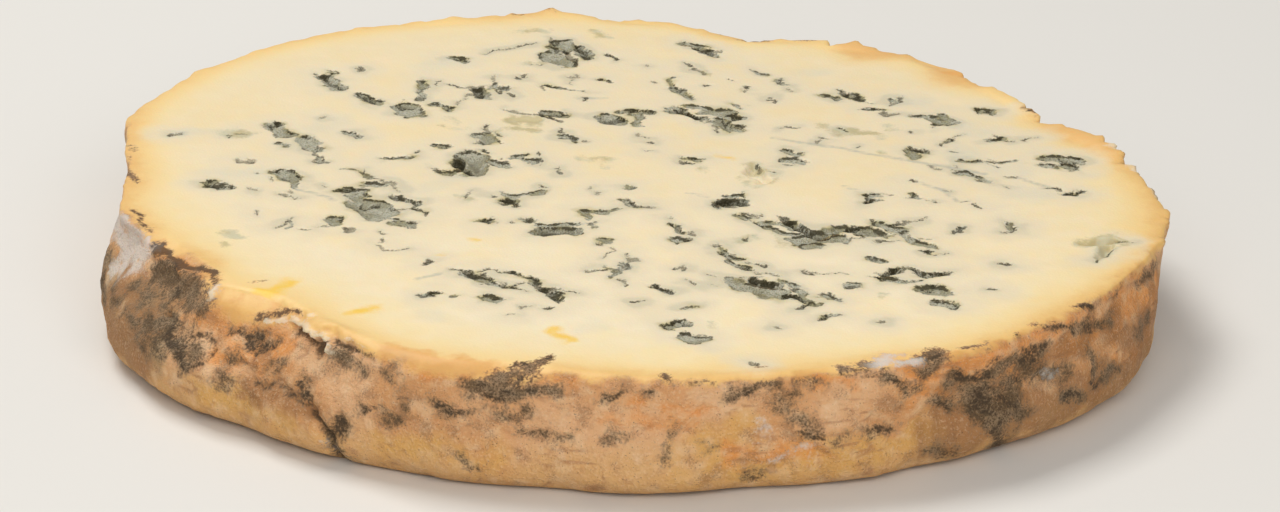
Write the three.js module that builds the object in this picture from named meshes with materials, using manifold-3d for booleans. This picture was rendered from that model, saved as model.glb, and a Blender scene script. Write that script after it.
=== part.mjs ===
// A round slice of blue-veined cheese: the foot of a small drum-shaped cheese, cut straight across with a knife.
// Units are millimetres and degrees, +Z is up. The underside lies flat on z = 0 and the veined cut face is on top.
// Angles run anticlockwise from +X, so 270 is the front of the slice and 180 is its left.
import * as THREE from 'three';
import { mergeVertices } from 'three/addons/utils/BufferGeometryUtils.js';
import Module from 'manifold-3d';

// Driving dimensions
const MEAN_DIAMETER = 130;
const THICKNESS = 15;
const OVAL = 4.9; // the long radius is this much over the mean, the short one as much under it
const OVAL_TURN = 135; // direction of the long axis
const FOOT_RADIUS = 4; // the rind curls under the wall in this radius
const RIM_RADIUS = 0.6; // the knife leaves this small round on the rind
const KNIFE_WAVE = 0.22; // the cut face rises and falls by this much
const RIND_LUMP = 0.2; // the wall's general lumpiness

const MEAN_RADIUS = MEAN_DIAMETER / 2;
const LEAN_FULL = 0.4; // a leaning wall reaches its full swell at this share of the height

// How finely the slice is divided
const SECTORS = 180;
const FOOT_STEPS = 4;
const WALL_STEPS = 9;
const RIM_STEPS = 2;
const FACE_RINGS = [0.965, 0.8, 0.45]; // rings on the cut face, as shares of the radius
const BASE_RING = 0.5;
const RIM_ZONE = 0.98; // the rind's relief reaches this share of the radius on the cut face

// Swells and hollows of the rim: direction, half width in degrees, how far they stand out
const RIM_SWELLS = [
  [22, 13, -2.0],
  [50, 17, 2.8],
  [75, 11, -2.6],
  [99, 9, 1.4],
  [132, 24, 1.1],
  [165, 10, -1.0],
  [177, 18, -3.4],
  [196, 10, -1.2],
  [207, 12, -1.2],
  [226, 10, -1.6],
  [249, 17, 3.0],
  [290, 16, -1.3],
  [348, 20, 1.3],
];

// Where the edge of the rind stands above the cut face or has sunk below it, in the same terms
const RIM_LIPS = [
  [12, 9, 0.6],
  [30, 14, 0.2],
  [48, 6, -0.3],
  [60, 6, 0.4],
  [72, 9, -0.3],
  [89, 6, -0.4],
  [97, 5, 0.3],
  [111, 5, 0.3],
  [208, 13, -0.8],
  [238, 6, 0.4],
  [259, 5, -0.8],
  [297, 7, -0.4],
];

// Where the wall swells out below the rim, in the same terms
const WALL_LEANS = [
  [90, 70, 1.2],
  [204, 30, 5.3],
  [207, 14, 1.2],
  [229, 25, 5.4],
  [256, 10, 1.0],
  [268, 14, 1.6],
  [291, 9, 1.0],
  [305, 10, -0.8],
  [329, 14, 1.6],
  [354, 18, -2.2],
];

// Creases in the rind, each a straight stroke: direction and height of both ends, width, depth
const RIND_CREASES = [
  [216, 9.4, 236, 6.4, 1.0, 0.9],
  [236, 6.4, 240, 0.6, 1.3, 1.3],
  [243, 7.4, 262, 8.2, 1.1, 0.6],
  [262, 8.2, 279, 8.9, 1.0, 0.5],
  [284, 8.0, 291, 2.6, 1.2, 0.9],
  [231, 12.6, 244, 12.2, 0.9, 1.5],
  [300, 7.0, 318, 9.0, 1.2, 0.6],
  [20, 7.5, 55, 8.6, 1.2, 0.7],
  [74, 13.5, 78, 2.0, 1.3, 1.0],
  [100, 8.0, 140, 7.2, 1.2, 0.7],
];

// Open pockets in the cut face, each a short stroke seen from above: both ends, width, depth
const POCKETS = [
  [-8.3, 52.6, -7.2, 47.0, 5.6, 1.2],
  [-4.9, 51.2, -4.4, 48.2, 2.4, 0.9],
  [9.8, 52.2, 12.0, 49.6, 2.4, 0.8],
  [-38.9, 39.3, -37.4, 34.8, 2.5, 0.8],
  [-33.8, 31.5, -32.0, 29.0, 2.6, 0.8],
  [-27.5, 28.0, -27.3, 25.2, 3.6, 0.7],
  [-18.5, 35.0, -18.3, 32.2, 2.6, 0.9],
  [-44.7, 21.0, -43.0, 17.6, 3.0, 0.8],
  [-41.4, 15.4, -38.8, 11.2, 2.4, 0.7],
  [-17.5, 18.4, -17.5, 14.6, 3.4, 0.8],
  [-19.0, 9.6, -18.7, 3.6, 5.2, 2.2],
  [-0.9, 24.0, 0.6, 21.6, 3.8, 0.9],
  [0.8, 24.6, 3.8, 25.0, 2.6, 0.9],
  [7.3, 26.4, 9.6, 23.6, 3.2, 1.8],
  [11.4, 25.8, 14.4, 23.2, 2.8, 0.9],
  [13.2, 21.2, 14.5, 18.8, 3.2, 0.9],
  [-42.0, 3.4, -41.0, 1.0, 3.6, 0.8],
  [-33.2, -4.6, -30.6, -12.0, 4.0, 0.9],
  [-30.2, -9.4, -28.2, -13.0, 4.0, 0.9],
  [-27.8, -5.6, -24.6, -8.6, 2.6, 0.9],
  [-9.0, -18.4, -6.2, -18.4, 4.4, 2.8],
  [13.0, -9.4, 14.8, -8.2, 3.4, 2.2],
  [20.6, -16.0, 23.4, -20.4, 2.8, 1.6],
  [23.4, -20.4, 29.0, -18.6, 3.4, 1.9],
  [29.0, -18.6, 33.4, -20.6, 2.8, 1.4],
  [15.6, -36.6, 19.0, -35.6, 3.0, 1.5],
  [15.0, -38.6, 19.4, -39.8, 3.2, 1.0],
  [31.4, -32.2, 34.2, -31.6, 2.6, 1.0],
  [37.0, -37.6, 38.4, -38.4, 3.0, 0.8],
  [55.0, 8.0, 57.0, 5.2, 4.2, 0.8],
  [21.2, 10.0, 22.4, 6.6, 3.2, 0.8],
];
const POCKET_SIDES = 12;
const POCKET_RINGS = 6;
const POCKET_RAGGED = 0.14; // share by which a pocket's edge wanders

const degrees = (radians) => THREE.MathUtils.radToDeg(radians);
const radians = (angle) => THREE.MathUtils.degToRad(angle);

// 1 at the middle, falling smoothly to 0 at the half width
function swell(distance, halfWidth) {
  return Math.abs(distance) < halfWidth ? 0.5 + 0.5 * Math.cos((Math.PI * distance) / halfWidth) : 0;
}

// The smallest turn from one direction to another
function turnBetween(from, to) {
  return THREE.MathUtils.euclideanModulo(to - from + 180, 360) - 180;
}

function swellsAt(swells, angle) {
  return swells.reduce((sum, [at, halfWidth, out]) => sum + out * swell(turnBetween(at, angle), halfWidth), 0);
}

function rimRadius(angle) {
  const oval = OVAL * Math.cos(2 * radians(angle - OVAL_TURN));
  return MEAN_RADIUS + oval + swellsAt(RIM_SWELLS, angle);
}

// How far the wall stands outside the rim at a height
function wallLean(angle, height) {
  const down = (THICKNESS - height) / (THICKNESS * (1 - LEAN_FULL));
  return swellsAt(WALL_LEANS, angle) * THREE.MathUtils.smoothstep(down, 0, 1);
}

// Repeatable draws from 0 to 1
function seededDraws(seed) {
  let state = seed;
  return () => {
    state = (state * 1664525 + 1013904223) % 4294967296;
    return state / 4294967296;
  };
}

// Lumps that run round the wall as waves of many lengths, the short ones lower
const draw = seededDraws(7);
const LUMP_WAVES = Array.from({ length: 14 }, (unused, index) => ({
  around: 4 + 3 * index,
  up: (draw() - 0.5) * 1.1,
  phase: draw() * 2 * Math.PI,
  height: RIND_LUMP / Math.sqrt(1 + index),
}));

function rindLumps(angle, height) {
  return LUMP_WAVES.reduce(
    (sum, wave) => sum + wave.height * Math.sin(wave.around * radians(angle) + wave.up * height + wave.phase),
    0,
  );
}

// The distance from a point to a stroke between two points
function distanceToStroke(x, y, [x0, y0, x1, y1]) {
  const stroke = new THREE.Line3(new THREE.Vector3(x0, y0, 0), new THREE.Vector3(x1, y1, 0));
  const point = new THREE.Vector3(x, y, 0);
  return stroke.closestPointToPoint(point, true, new THREE.Vector3()).distanceTo(point);
}

function rindCreases(angle, height) {
  const alongPerDegree = radians(1) * MEAN_RADIUS;
  return RIND_CREASES.reduce((sum, [angle0, height0, angle1, height1, width, depth]) => {
    const along = turnBetween(angle0, angle) * alongPerDegree;
    const length = turnBetween(angle0, angle1) * alongPerDegree;
    const away = distanceToStroke(along, height, [0, height0, length, height1]);
    return sum - depth * Math.exp(-((away / width) ** 2));
  }, 0);
}

// The long, low waves that the knife leaves on the cut face
function knifeWave(x, y) {
  return KNIFE_WAVE * (Math.sin(x / 19 + 0.6) * Math.cos(y / 23) + 0.5 * Math.sin((x - 2 * y) / 31));
}

// The half section of a plain round slice, from the middle of the base, up the wall, to the middle of the cut face
function sliceProfile() {
  const points = [
    [0, 0],
    [MEAN_RADIUS * BASE_RING, 0],
  ];
  for (let step = 0; step <= FOOT_STEPS; step++) {
    const turn = radians((90 * step) / FOOT_STEPS);
    points.push([
      MEAN_RADIUS - FOOT_RADIUS * (1 - Math.sin(turn)),
      FOOT_RADIUS * (1 - Math.cos(turn)),
    ]);
  }
  for (let step = 1; step <= WALL_STEPS; step++) {
    points.push([MEAN_RADIUS, THREE.MathUtils.lerp(FOOT_RADIUS, THICKNESS - RIM_RADIUS, step / WALL_STEPS)]);
  }
  for (let step = 1; step <= RIM_STEPS; step++) {
    const turn = radians((90 * step) / RIM_STEPS);
    points.push([
      MEAN_RADIUS - RIM_RADIUS * (1 - Math.cos(turn)),
      THICKNESS - RIM_RADIUS * (1 - Math.sin(turn)),
    ]);
  }
  FACE_RINGS.forEach((share) => points.push([MEAN_RADIUS * share, THICKNESS]));
  points.push([0, THICKNESS]);
  return points.map(([radius, height]) => new THREE.Vector2(radius, height));
}

// The plain round slice, pushed into the oval, lumpy, leaning shape of the real one
function sliceGeometry() {
  const geometry = new THREE.LatheGeometry(sliceProfile(), SECTORS).rotateX(Math.PI / 2);
  const position = geometry.getAttribute('position');
  for (let i = 0; i < position.count; i++) {
    const radius = Math.hypot(position.getX(i), position.getY(i));
    const angle = degrees(Math.atan2(position.getY(i), position.getX(i)));
    const height = position.getZ(i);
    const outward = radius / MEAN_RADIUS;
    const onRind = height > 0 && outward > RIM_ZONE;
    const relief = onRind ? rindLumps(angle, height) + rindCreases(angle, height) : 0;
    const pushed = radius + outward * (rimRadius(angle) - MEAN_RADIUS + wallLean(angle, height)) + relief;
    const x = pushed * Math.cos(radians(angle));
    const y = pushed * Math.sin(radians(angle));
    const lip = onRind ? swellsAt(RIM_LIPS, angle) : 0;
    const lift = (knifeWave(x, y) + lip) * THREE.MathUtils.smoothstep(height, THICKNESS / 2, THICKNESS);
    position.setXYZ(i, x, y, height + lift);
  }
  return geometry;
}

// A ragged bowl along one stroke, half sunk in the cut face
function pocketGeometry([x0, y0, x1, y1, width, depth]) {
  const length = Math.hypot(x1 - x0, y1 - y0) + width;
  const geometry = new THREE.SphereGeometry(1, POCKET_SIDES, POCKET_RINGS).rotateX(Math.PI / 2);
  const position = geometry.getAttribute('position');
  for (let i = 0; i < position.count; i++) {
    const around = Math.atan2(position.getY(i), position.getX(i));
    const wander = 1 + POCKET_RAGGED * (Math.sin(3 * around + x0) + Math.sin(5 * around + y0));
    position.setXYZ(i, position.getX(i) * wander, position.getY(i) * wander, position.getZ(i));
  }
  return geometry
    .scale(length / 2, width / 2, depth)
    .rotateZ(Math.atan2(y1 - y0, x1 - x0))
    .translate((x0 + x1) / 2, (y0 + y1) / 2, THICKNESS);
}

const wasm = await Module();
wasm.setup();

function solidFrom(geometry) {
  geometry.deleteAttribute('normal');
  geometry.deleteAttribute('uv');
  const merged = mergeVertices(geometry, 1e-3);
  return new wasm.Manifold(
    new wasm.Mesh({
      numProp: 3,
      vertProperties: merged.getAttribute('position').array,
      triVerts: new Uint32Array(merged.index.array),
    }),
  );
}

function geometryFrom(solid) {
  const mesh = solid.getMesh();
  const geometry = new THREE.BufferGeometry();
  geometry.setAttribute('position', new THREE.BufferAttribute(mesh.vertProperties, 3));
  geometry.setIndex(new THREE.BufferAttribute(mesh.triVerts, 1));
  geometry.computeVertexNormals();
  return geometry;
}

// Sets the slice down with the middle of its outline over the origin
function centred(geometry) {
  geometry.computeBoundingBox();
  const middle = geometry.boundingBox.getCenter(new THREE.Vector3());
  return geometry.translate(-middle.x, -middle.y, -geometry.boundingBox.min.z);
}

const slice = POCKETS.reduce(
  (solid, pocket) => solid.subtract(solidFrom(pocketGeometry(pocket))),
  solidFrom(sliceGeometry()),
);

const cheese = new THREE.Mesh(
  centred(geometryFrom(slice)),
  new THREE.MeshStandardMaterial({ color: 0xf6e2b4, roughness: 0.55, metalness: 0 }),
);
cheese.name = 'cheese';

const cheeseSlice = new THREE.Group();
cheeseSlice.add(cheese);

export default cheeseSlice;
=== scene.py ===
# %% [markdown]
# # A round slice of blue cheese
# The object is the end slice of a small drum-shaped blue cheese. It lies on its uncut end, so the knife's
# cut face is on top, cream with blue-green veins and open pockets. The rind runs round it as a low, lumpy
# wall. One solid already fixes its size and place. This lesson models a finer skin in the same form and
# paints it.

# %% Load the solid that fixes size and place
import math
import random

import bpy
import numpy as np
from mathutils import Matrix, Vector, noise


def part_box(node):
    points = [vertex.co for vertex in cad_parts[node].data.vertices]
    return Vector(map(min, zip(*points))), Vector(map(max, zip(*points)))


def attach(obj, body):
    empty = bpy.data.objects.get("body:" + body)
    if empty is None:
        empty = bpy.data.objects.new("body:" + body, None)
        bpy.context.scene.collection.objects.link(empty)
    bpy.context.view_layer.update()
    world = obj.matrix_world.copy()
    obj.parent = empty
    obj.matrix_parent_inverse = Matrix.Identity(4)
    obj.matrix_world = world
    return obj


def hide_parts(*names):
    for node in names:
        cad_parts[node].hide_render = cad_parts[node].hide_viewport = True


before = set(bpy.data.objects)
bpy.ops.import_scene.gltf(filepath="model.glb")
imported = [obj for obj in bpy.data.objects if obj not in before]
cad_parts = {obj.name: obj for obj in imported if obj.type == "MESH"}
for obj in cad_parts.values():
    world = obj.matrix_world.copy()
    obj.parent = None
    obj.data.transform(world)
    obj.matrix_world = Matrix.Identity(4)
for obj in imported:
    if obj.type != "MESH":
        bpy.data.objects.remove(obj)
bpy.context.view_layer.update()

solid_low, solid_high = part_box("cheese")
print("the solid measures, in mm:", [round(1000 * side, 1) for side in solid_high - solid_low])

# %% [markdown]
# ## The form in formulas
# The slice isn't a true circle: it is a little oval, with swells and hollows along the rim, a wall that
# leans out at the left, and a rind edge that stands up or has sunk in places. Each of these is a short
# list of soft swells round the outline, the same ones that shape the solid, so the skin made here lies on
# the solid. Angles run anticlockwise from +X, so 270 degrees is the front of the slice. Lengths are in
# millimetres.

# %% Sizes of the slice
MM = 0.001
MEAN_RADIUS = 65.0
THICKNESS = 15.0
OVAL = 4.9
OVAL_TURN = 135.0
FOOT_RADIUS = 4.0
RIM_BEVEL = 0.12
KNIFE_WAVE = 0.22
RIND_LUMP = 0.2
LEAN_FULL = 0.4

# Direction, half width in degrees, and how far each swell stands out in millimetres
RIM_SWELLS = [
    (22, 13, -2.0), (50, 17, 2.8), (75, 11, -2.6), (99, 9, 1.4), (132, 24, 1.1), (165, 10, -1.0),
    (177, 18, -3.4), (196, 10, -1.2), (207, 12, -1.2), (226, 10, -1.6), (249, 17, 3.0), (290, 16, -1.3),
    (348, 20, 1.3),
]
RIM_LIPS = [
    (12, 9, 0.6), (30, 14, 0.2), (48, 6, -0.3), (60, 6, 0.4), (72, 9, -0.3), (89, 6, -0.4), (97, 5, 0.3),
    (111, 5, 0.3), (208, 13, -0.8), (238, 6, 0.4), (259, 5, -0.8), (297, 7, -0.4),
]
WALL_LEANS = [
    (90, 70, 1.2), (204, 30, 5.3), (207, 14, 1.2), (229, 25, 5.4), (256, 10, 1.0), (268, 14, 1.6),
    (291, 9, 1.0), (305, 10, -0.8), (329, 14, 1.6), (354, 18, -2.2),
]
print("swells of rim, height and wall:", len(RIM_SWELLS), len(RIM_LIPS), len(WALL_LEANS))

# %% Rim, lean and lip at any direction
def smooth_step(value, low, high):
    share = np.clip((value - low) / (high - low), 0.0, 1.0)
    return share * share * (3.0 - 2.0 * share)


def turn_between(start, end):
    return (end - start + 180.0) % 360.0 - 180.0


def swells_at(swells, angle):
    total = np.zeros_like(angle)
    for direction, half_width, out in swells:
        turn = turn_between(direction, angle)
        swell = out * (0.5 + 0.5 * np.cos(np.pi * turn / half_width))
        total += np.where(np.abs(turn) < half_width, swell, 0.0)
    return total


def rim_radius(angle):
    return MEAN_RADIUS + OVAL * np.cos(2.0 * np.radians(angle - OVAL_TURN)) + swells_at(RIM_SWELLS, angle)


def wall_lean(angle, height):
    lean_share = smooth_step(THICKNESS - height, 0.0, THICKNESS * (1.0 - LEAN_FULL))
    return swells_at(WALL_LEANS, angle) * lean_share


# Two long waves that the knife left across the cut face
def knife_wave(x, y):
    return KNIFE_WAVE * (np.sin(x / 19.0 + 0.6) * np.cos(y / 23.0) + 0.5 * np.sin((x - 2.0 * y) / 31.0))


# %% The rind's long lumps, as waves round the wall
LUMP_COUNT = 14
FEWEST_LUMPS = 4
MORE_LUMPS = 3
LUMP_CLIMB = 1.1
LUMP_SEED = 7
DRAW_STEP = 1664525
DRAW_SHIFT = 1013904223
DRAW_RANGE = 4294967296


def seeded_draws(seed):
    state = seed
    while True:
        state = (state * DRAW_STEP + DRAW_SHIFT) % DRAW_RANGE
        yield state / DRAW_RANGE


draws = seeded_draws(LUMP_SEED)
lump_waves = []
for index in range(LUMP_COUNT):
    climb = (next(draws) - 0.5) * LUMP_CLIMB
    phase = next(draws) * 2.0 * math.pi
    lump_waves.append((FEWEST_LUMPS + MORE_LUMPS * index, climb, phase, RIND_LUMP / math.sqrt(1 + index)))


def rind_lumps(angle, height):
    turn = np.radians(angle)
    total = 0.0
    for around, climb, phase, tall in lump_waves:
        total = total + tall * np.sin(around * turn + climb * height + phase)
    return total


print("lumps round the wall, from", lump_waves[0][0], "to", lump_waves[-1][0])

# %% Find the middle of the outline
OUTLINE_LEVELS = 12
levels = np.linspace(FOOT_RADIUS, THICKNESS, OUTLINE_LEVELS)
all_angles, some_heights = np.meshgrid(np.arange(0.0, 360.0, 1.0), levels)
outline = rim_radius(all_angles) + wall_lean(all_angles, some_heights)
outline += rind_lumps(all_angles, some_heights)
outline_x = outline * np.cos(np.radians(all_angles))
outline_y = outline * np.sin(np.radians(all_angles))
middle_x = (outline_x.min() + outline_x.max()) / 2.0
middle_y = (outline_y.min() + outline_y.max()) / 2.0
MIDDLE = np.array([middle_x, middle_y, 0.0])
print("the rim's own centre is off the outline's middle by, in mm:", -MIDDLE.round(2))

# %% [markdown]
# ## Camera
# The view is from the front, about 21 degrees above the table, with a long lens, so the near and far
# edges of the slice keep almost the same scale. The aim is a point on the table under the slice, measured
# from the rim's centre, so it is moved by the same offset as the slice.

# %% Camera
VIEW_DISTANCE = 600.0
VIEW_ELEVATION = 20.95
LENS = 131.1
SENSOR_WIDTH = 36.0
AIM = np.array([2.5, 12.1, 0.0])

view_slope = math.radians(VIEW_ELEVATION)
step_back = np.array([0.0, -math.cos(view_slope), math.sin(view_slope)])
bpy.ops.object.select_all(action="DESELECT")
bpy.ops.object.camera_add(
    location=Vector(AIM - MIDDLE + VIEW_DISTANCE * step_back) * MM,
    rotation=(math.radians(90.0) - view_slope, 0.0, 0.0),
)
camera = bpy.context.object
camera.data.lens = LENS
camera.data.sensor_width = SENSOR_WIDTH
camera.data.sensor_fit = "HORIZONTAL"
bpy.context.scene.camera = camera
print("camera at, in mm:", [round(1000 * part) for part in camera.location])

# %% [markdown]
# ## Floor and light
# A pale, plain floor lets the cream and the orange rind stand out. Cheese is lit softly: one broad light
# high above and a little behind the slice brings out the hollows of the pockets, a broad fill from the
# front opens up the rind, and a pale world fills the rest. The Standard view keeps the paint close to the
# colours set here.

# %% Colours by their usual 0 to 255 values
def paint(red, green, blue):
    def linear(channel):
        share = channel / 255.0
        return share / 12.92 if share <= 0.04045 else ((share + 0.055) / 1.055) ** 2.4
    return (linear(red), linear(green), linear(blue), 1.0)


# %% Floor, in metres, a hair under the slice
FLOOR_SIZE = 8.0
FLOOR_GAP = 0.05
bpy.ops.object.select_all(action="DESELECT")
bpy.ops.mesh.primitive_plane_add(size=FLOOR_SIZE, location=(0.0, 0.0, -FLOOR_GAP * MM))
floor = bpy.context.object
floor.name = "floor"
floor_paint = bpy.data.materials.new("pale floor")
floor_paint.use_nodes = True
floor_shader = floor_paint.node_tree.nodes["Principled BSDF"]
floor_shader.inputs["Base Color"].default_value = paint(229, 227, 222)
floor_shader.inputs["Roughness"].default_value = 0.7
floor.data.materials.append(floor_paint)
print("floor of", FLOOR_SIZE, "m")

# %% Lights, in metres and watts
WORLD_STRENGTH = 0.28


def soft_light(name, place, width, depth, watts, tint):
    aim_down = (-Vector(place)).to_track_quat("-Z", "Y").to_euler()
    bpy.ops.object.light_add(type="AREA", location=place, rotation=aim_down)
    light = bpy.context.object
    light.name = name
    light.data.shape = "RECTANGLE"
    light.data.size = width
    light.data.size_y = depth
    light.data.energy = watts
    light.data.color = tint


soft_light("light_above", (-0.35, 0.35, 0.90), width=0.5, depth=0.4, watts=6.4, tint=(1.0, 0.98, 0.95))
soft_light("light_front", (0.10, -0.75, 0.50), width=1.0, depth=0.5, watts=4.6, tint=(1.0, 0.98, 0.96))
world = bpy.data.worlds.new("pale room")
world.use_nodes = True
world.node_tree.nodes["Background"].inputs["Color"].default_value = (1.0, 0.99, 0.97, 1.0)
world.node_tree.nodes["Background"].inputs["Strength"].default_value = WORLD_STRENGTH
bpy.context.scene.world = world
bpy.context.scene.view_settings.view_transform = "Standard"

# %% [markdown]
# ## Veins of the cut face
# The blue mould grew wherever air got in: in long pricks of a needle and in the gaps between the curds.
# The knife opened some gaps as hollows with a grey furry floor, and elsewhere left patches of grey fur
# and thin, almost black lines. Each is drawn here as a brush line seen from above: its width, then the
# points that it passes through, as x and y in turn, from the rim's centre. They are roughened later, so
# few points are enough.

# %% Open hollows: depth, width, then the points of the line
HOLLOWS = [
    (0.7, 3.6, -9.2, 48.6, -8.0, 45.6), (0.63, 2.4, -8.4, 54.2, -7.2, 51.0),
    (0.56, 1.8, -6.0, 52.0, -4.6, 48.2), (0.49, 1.6, 10.4, 52.4, 12.2, 49.2),
    (0.49, 2.2, -39.3, 39.2, -37.6, 35.2), (0.49, 2.4, -34.0, 31.8, -32.2, 29.2),
    (0.49, 3.2, -28.2, 27.6, -27.0, 25.0), (0.35, 1.2, -26.2, 37.6, -26.4, 31.8),
    (0.35, 1.5, -24.6, 28.8, -22.2, 27.0), (0.63, 1.8, -19.0, 34.4, -18.0, 32.2),
    (0.42, 1.3, -16.3, 36.4, -15.4, 34.2), (0.56, 2.4, -44.8, 20.6, -43.4, 17.2),
    (0.35, 1.7, -43.8, 18.2, -42.2, 17.4), (0.42, 2.0, -41.0, 16.0, -38.8, 11.6),
    (0.35, 1.5, -34.6, 17.8, -33.6, 16.4), (0.49, 2.4, -17.8, 17.2, -17.0, 14.4),
    (0.9, 3.6, -18.8, 9.0, -18.4, 3.4), (1.5, 2.2, -20.2, 7.0, -19.6, 3.6),
    (0.56, 1.3, -23.0, 3.6, -20.6, 3.0), (0.56, 1.8, -16.2, 6.6, -14.8, 5.0),
    (0.63, 2.8, -2.0, 23.8, -0.6, 21.6), (0.56, 1.9, 0.8, 25.8, 3.8, 25.2),
    (0.35, 1.2, 2.0, 24.4, 2.2, 20.4), (1.26, 1.9, 7.2, 26.0, 10.4, 22.6),
    (0.63, 2.4, 11.6, 25.4, 15.0, 23.0), (0.56, 2.6, 12.8, 21.6, 14.6, 18.4),
    (0.42, 1.6, -12.6, 8.6, -10.8, 6.6), (0.35, 1.5, 21.0, 9.8, 22.4, 8.6),
    (0.42, 1.8, 20.8, 6.4, 22.6, 6.0), (0.42, 1.9, 36.8, 10.2, 38.2, 9.6),
    (0.56, 2.6, 54.2, 7.6, 57.2, 6.6), (0.35, 1.6, 56.4, 4.6, 57.2, 3.2),
    (0.35, 1.4, 29.8, 33.2, 31.4, 31.0), (0.28, 2.0, 40.6, 22.8, 41.8, 20.8),
    (0.56, 2.8, -42.6, 3.2, -40.8, 1.0), (0.35, 1.1, -41.2, 0.2, -40.4, -2.2),
    (0.35, 1.4, -50.8, -1.2, -48.8, -2.0), (0.42, 1.8, -34.6, -3.4, -32.2, -4.0),
    (0.63, 1.9, -33.2, -5.0, -31.8, -9.0), (0.63, 3.8, -31.8, -8.4, -30.0, -12.2),
    (0.63, 3.4, -30.2, -9.0, -28.8, -12.4), (0.49, 1.4, -27.8, -5.8, -25.4, -7.8),
    (0.35, 1.0, -25.4, -10.0, -24.2, -10.8), (0.28, 1.4, -27.4, -15.4, -25.6, -16.2),
    (0.42, 1.7, -35.2, -13.6, -34.8, -15.2), (0.56, 1.6, -14.4, -7.4, -13.4, -8.6),
    (1.96, 3.8, -8.8, -18.6, -6.2, -18.6), (0.35, 1.6, -4.4, -11.8, -2.2, -12.6),
    (0.35, 1.3, 0.2, -8.2, 2.4, -10.4), (1.54, 2.6, 12.8, -9.0, 14.4, -9.2),
    (0.42, 1.2, 11.6, -10.2, 12.6, -11.0), (0.98, 1.5, 30.2, -9.4, 31.2, -8.6),
    (1.12, 1.9, 21.0, -16.8, 22.8, -19.8, 25.8, -19.4), (1.33, 1.8, 22.8, -20.4, 24.6, -20.6),
    (0.63, 3.0, 21.8, -22.2, 26.2, -22.0), (0.84, 2.0, 25.8, -18.4, 29.6, -18.6, 31.8, -20.4),
    (0.56, 1.4, 34.4, -19.8, 35.2, -22.2), (0.35, 2.0, 31.6, -16.8, 33.6, -18.0),
    (1.05, 2.0, 15.6, -35.2, 18.6, -36.4), (0.7, 3.2, 14.8, -37.6, 18.4, -38.8),
    (0.56, 1.8, 17.4, -39.8, 19.4, -40.6), (0.49, 1.2, 20.2, -40.4, 22.8, -42.2),
    (0.7, 1.6, 31.4, -33.2, 32.6, -31.6), (0.49, 1.3, 30.6, -34.6, 33.2, -35.4),
    (0.56, 1.1, 34.8, -32.0, 36.4, -33.2, 38.4, -33.0), (0.49, 2.8, 36.4, -38.0, 37.8, -38.6),
    (0.42, 1.9, 37.6, -42.2, 38.6, -42.6), (0.35, 1.5, 5.8, -48.8, 7.4, -48.4),
    (0.28, 1.9, 7.8, -52.2, 9.4, -53.0), (0.35, 1.9, -16.0, -40.6, -14.4, -41.6),
    (0.42, 1.4, -9.0, -38.0, -6.8, -41.2), (0.35, 1.3, 12.4, -27.2, 14.2, -28.4),
    (0.49, 1.0, 6.4, -17.0, 7.6, -19.4), (0.35, 1.2, 6.6, -21.6, 8.2, -22.4),
    (0.35, 1.3, 55.4, -5.2, 57.0, -5.2), (0.42, 1.0, 47.2, -15.6, 47.8, -17.6),
]
print(len(HOLLOWS), "hollows")

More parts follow.
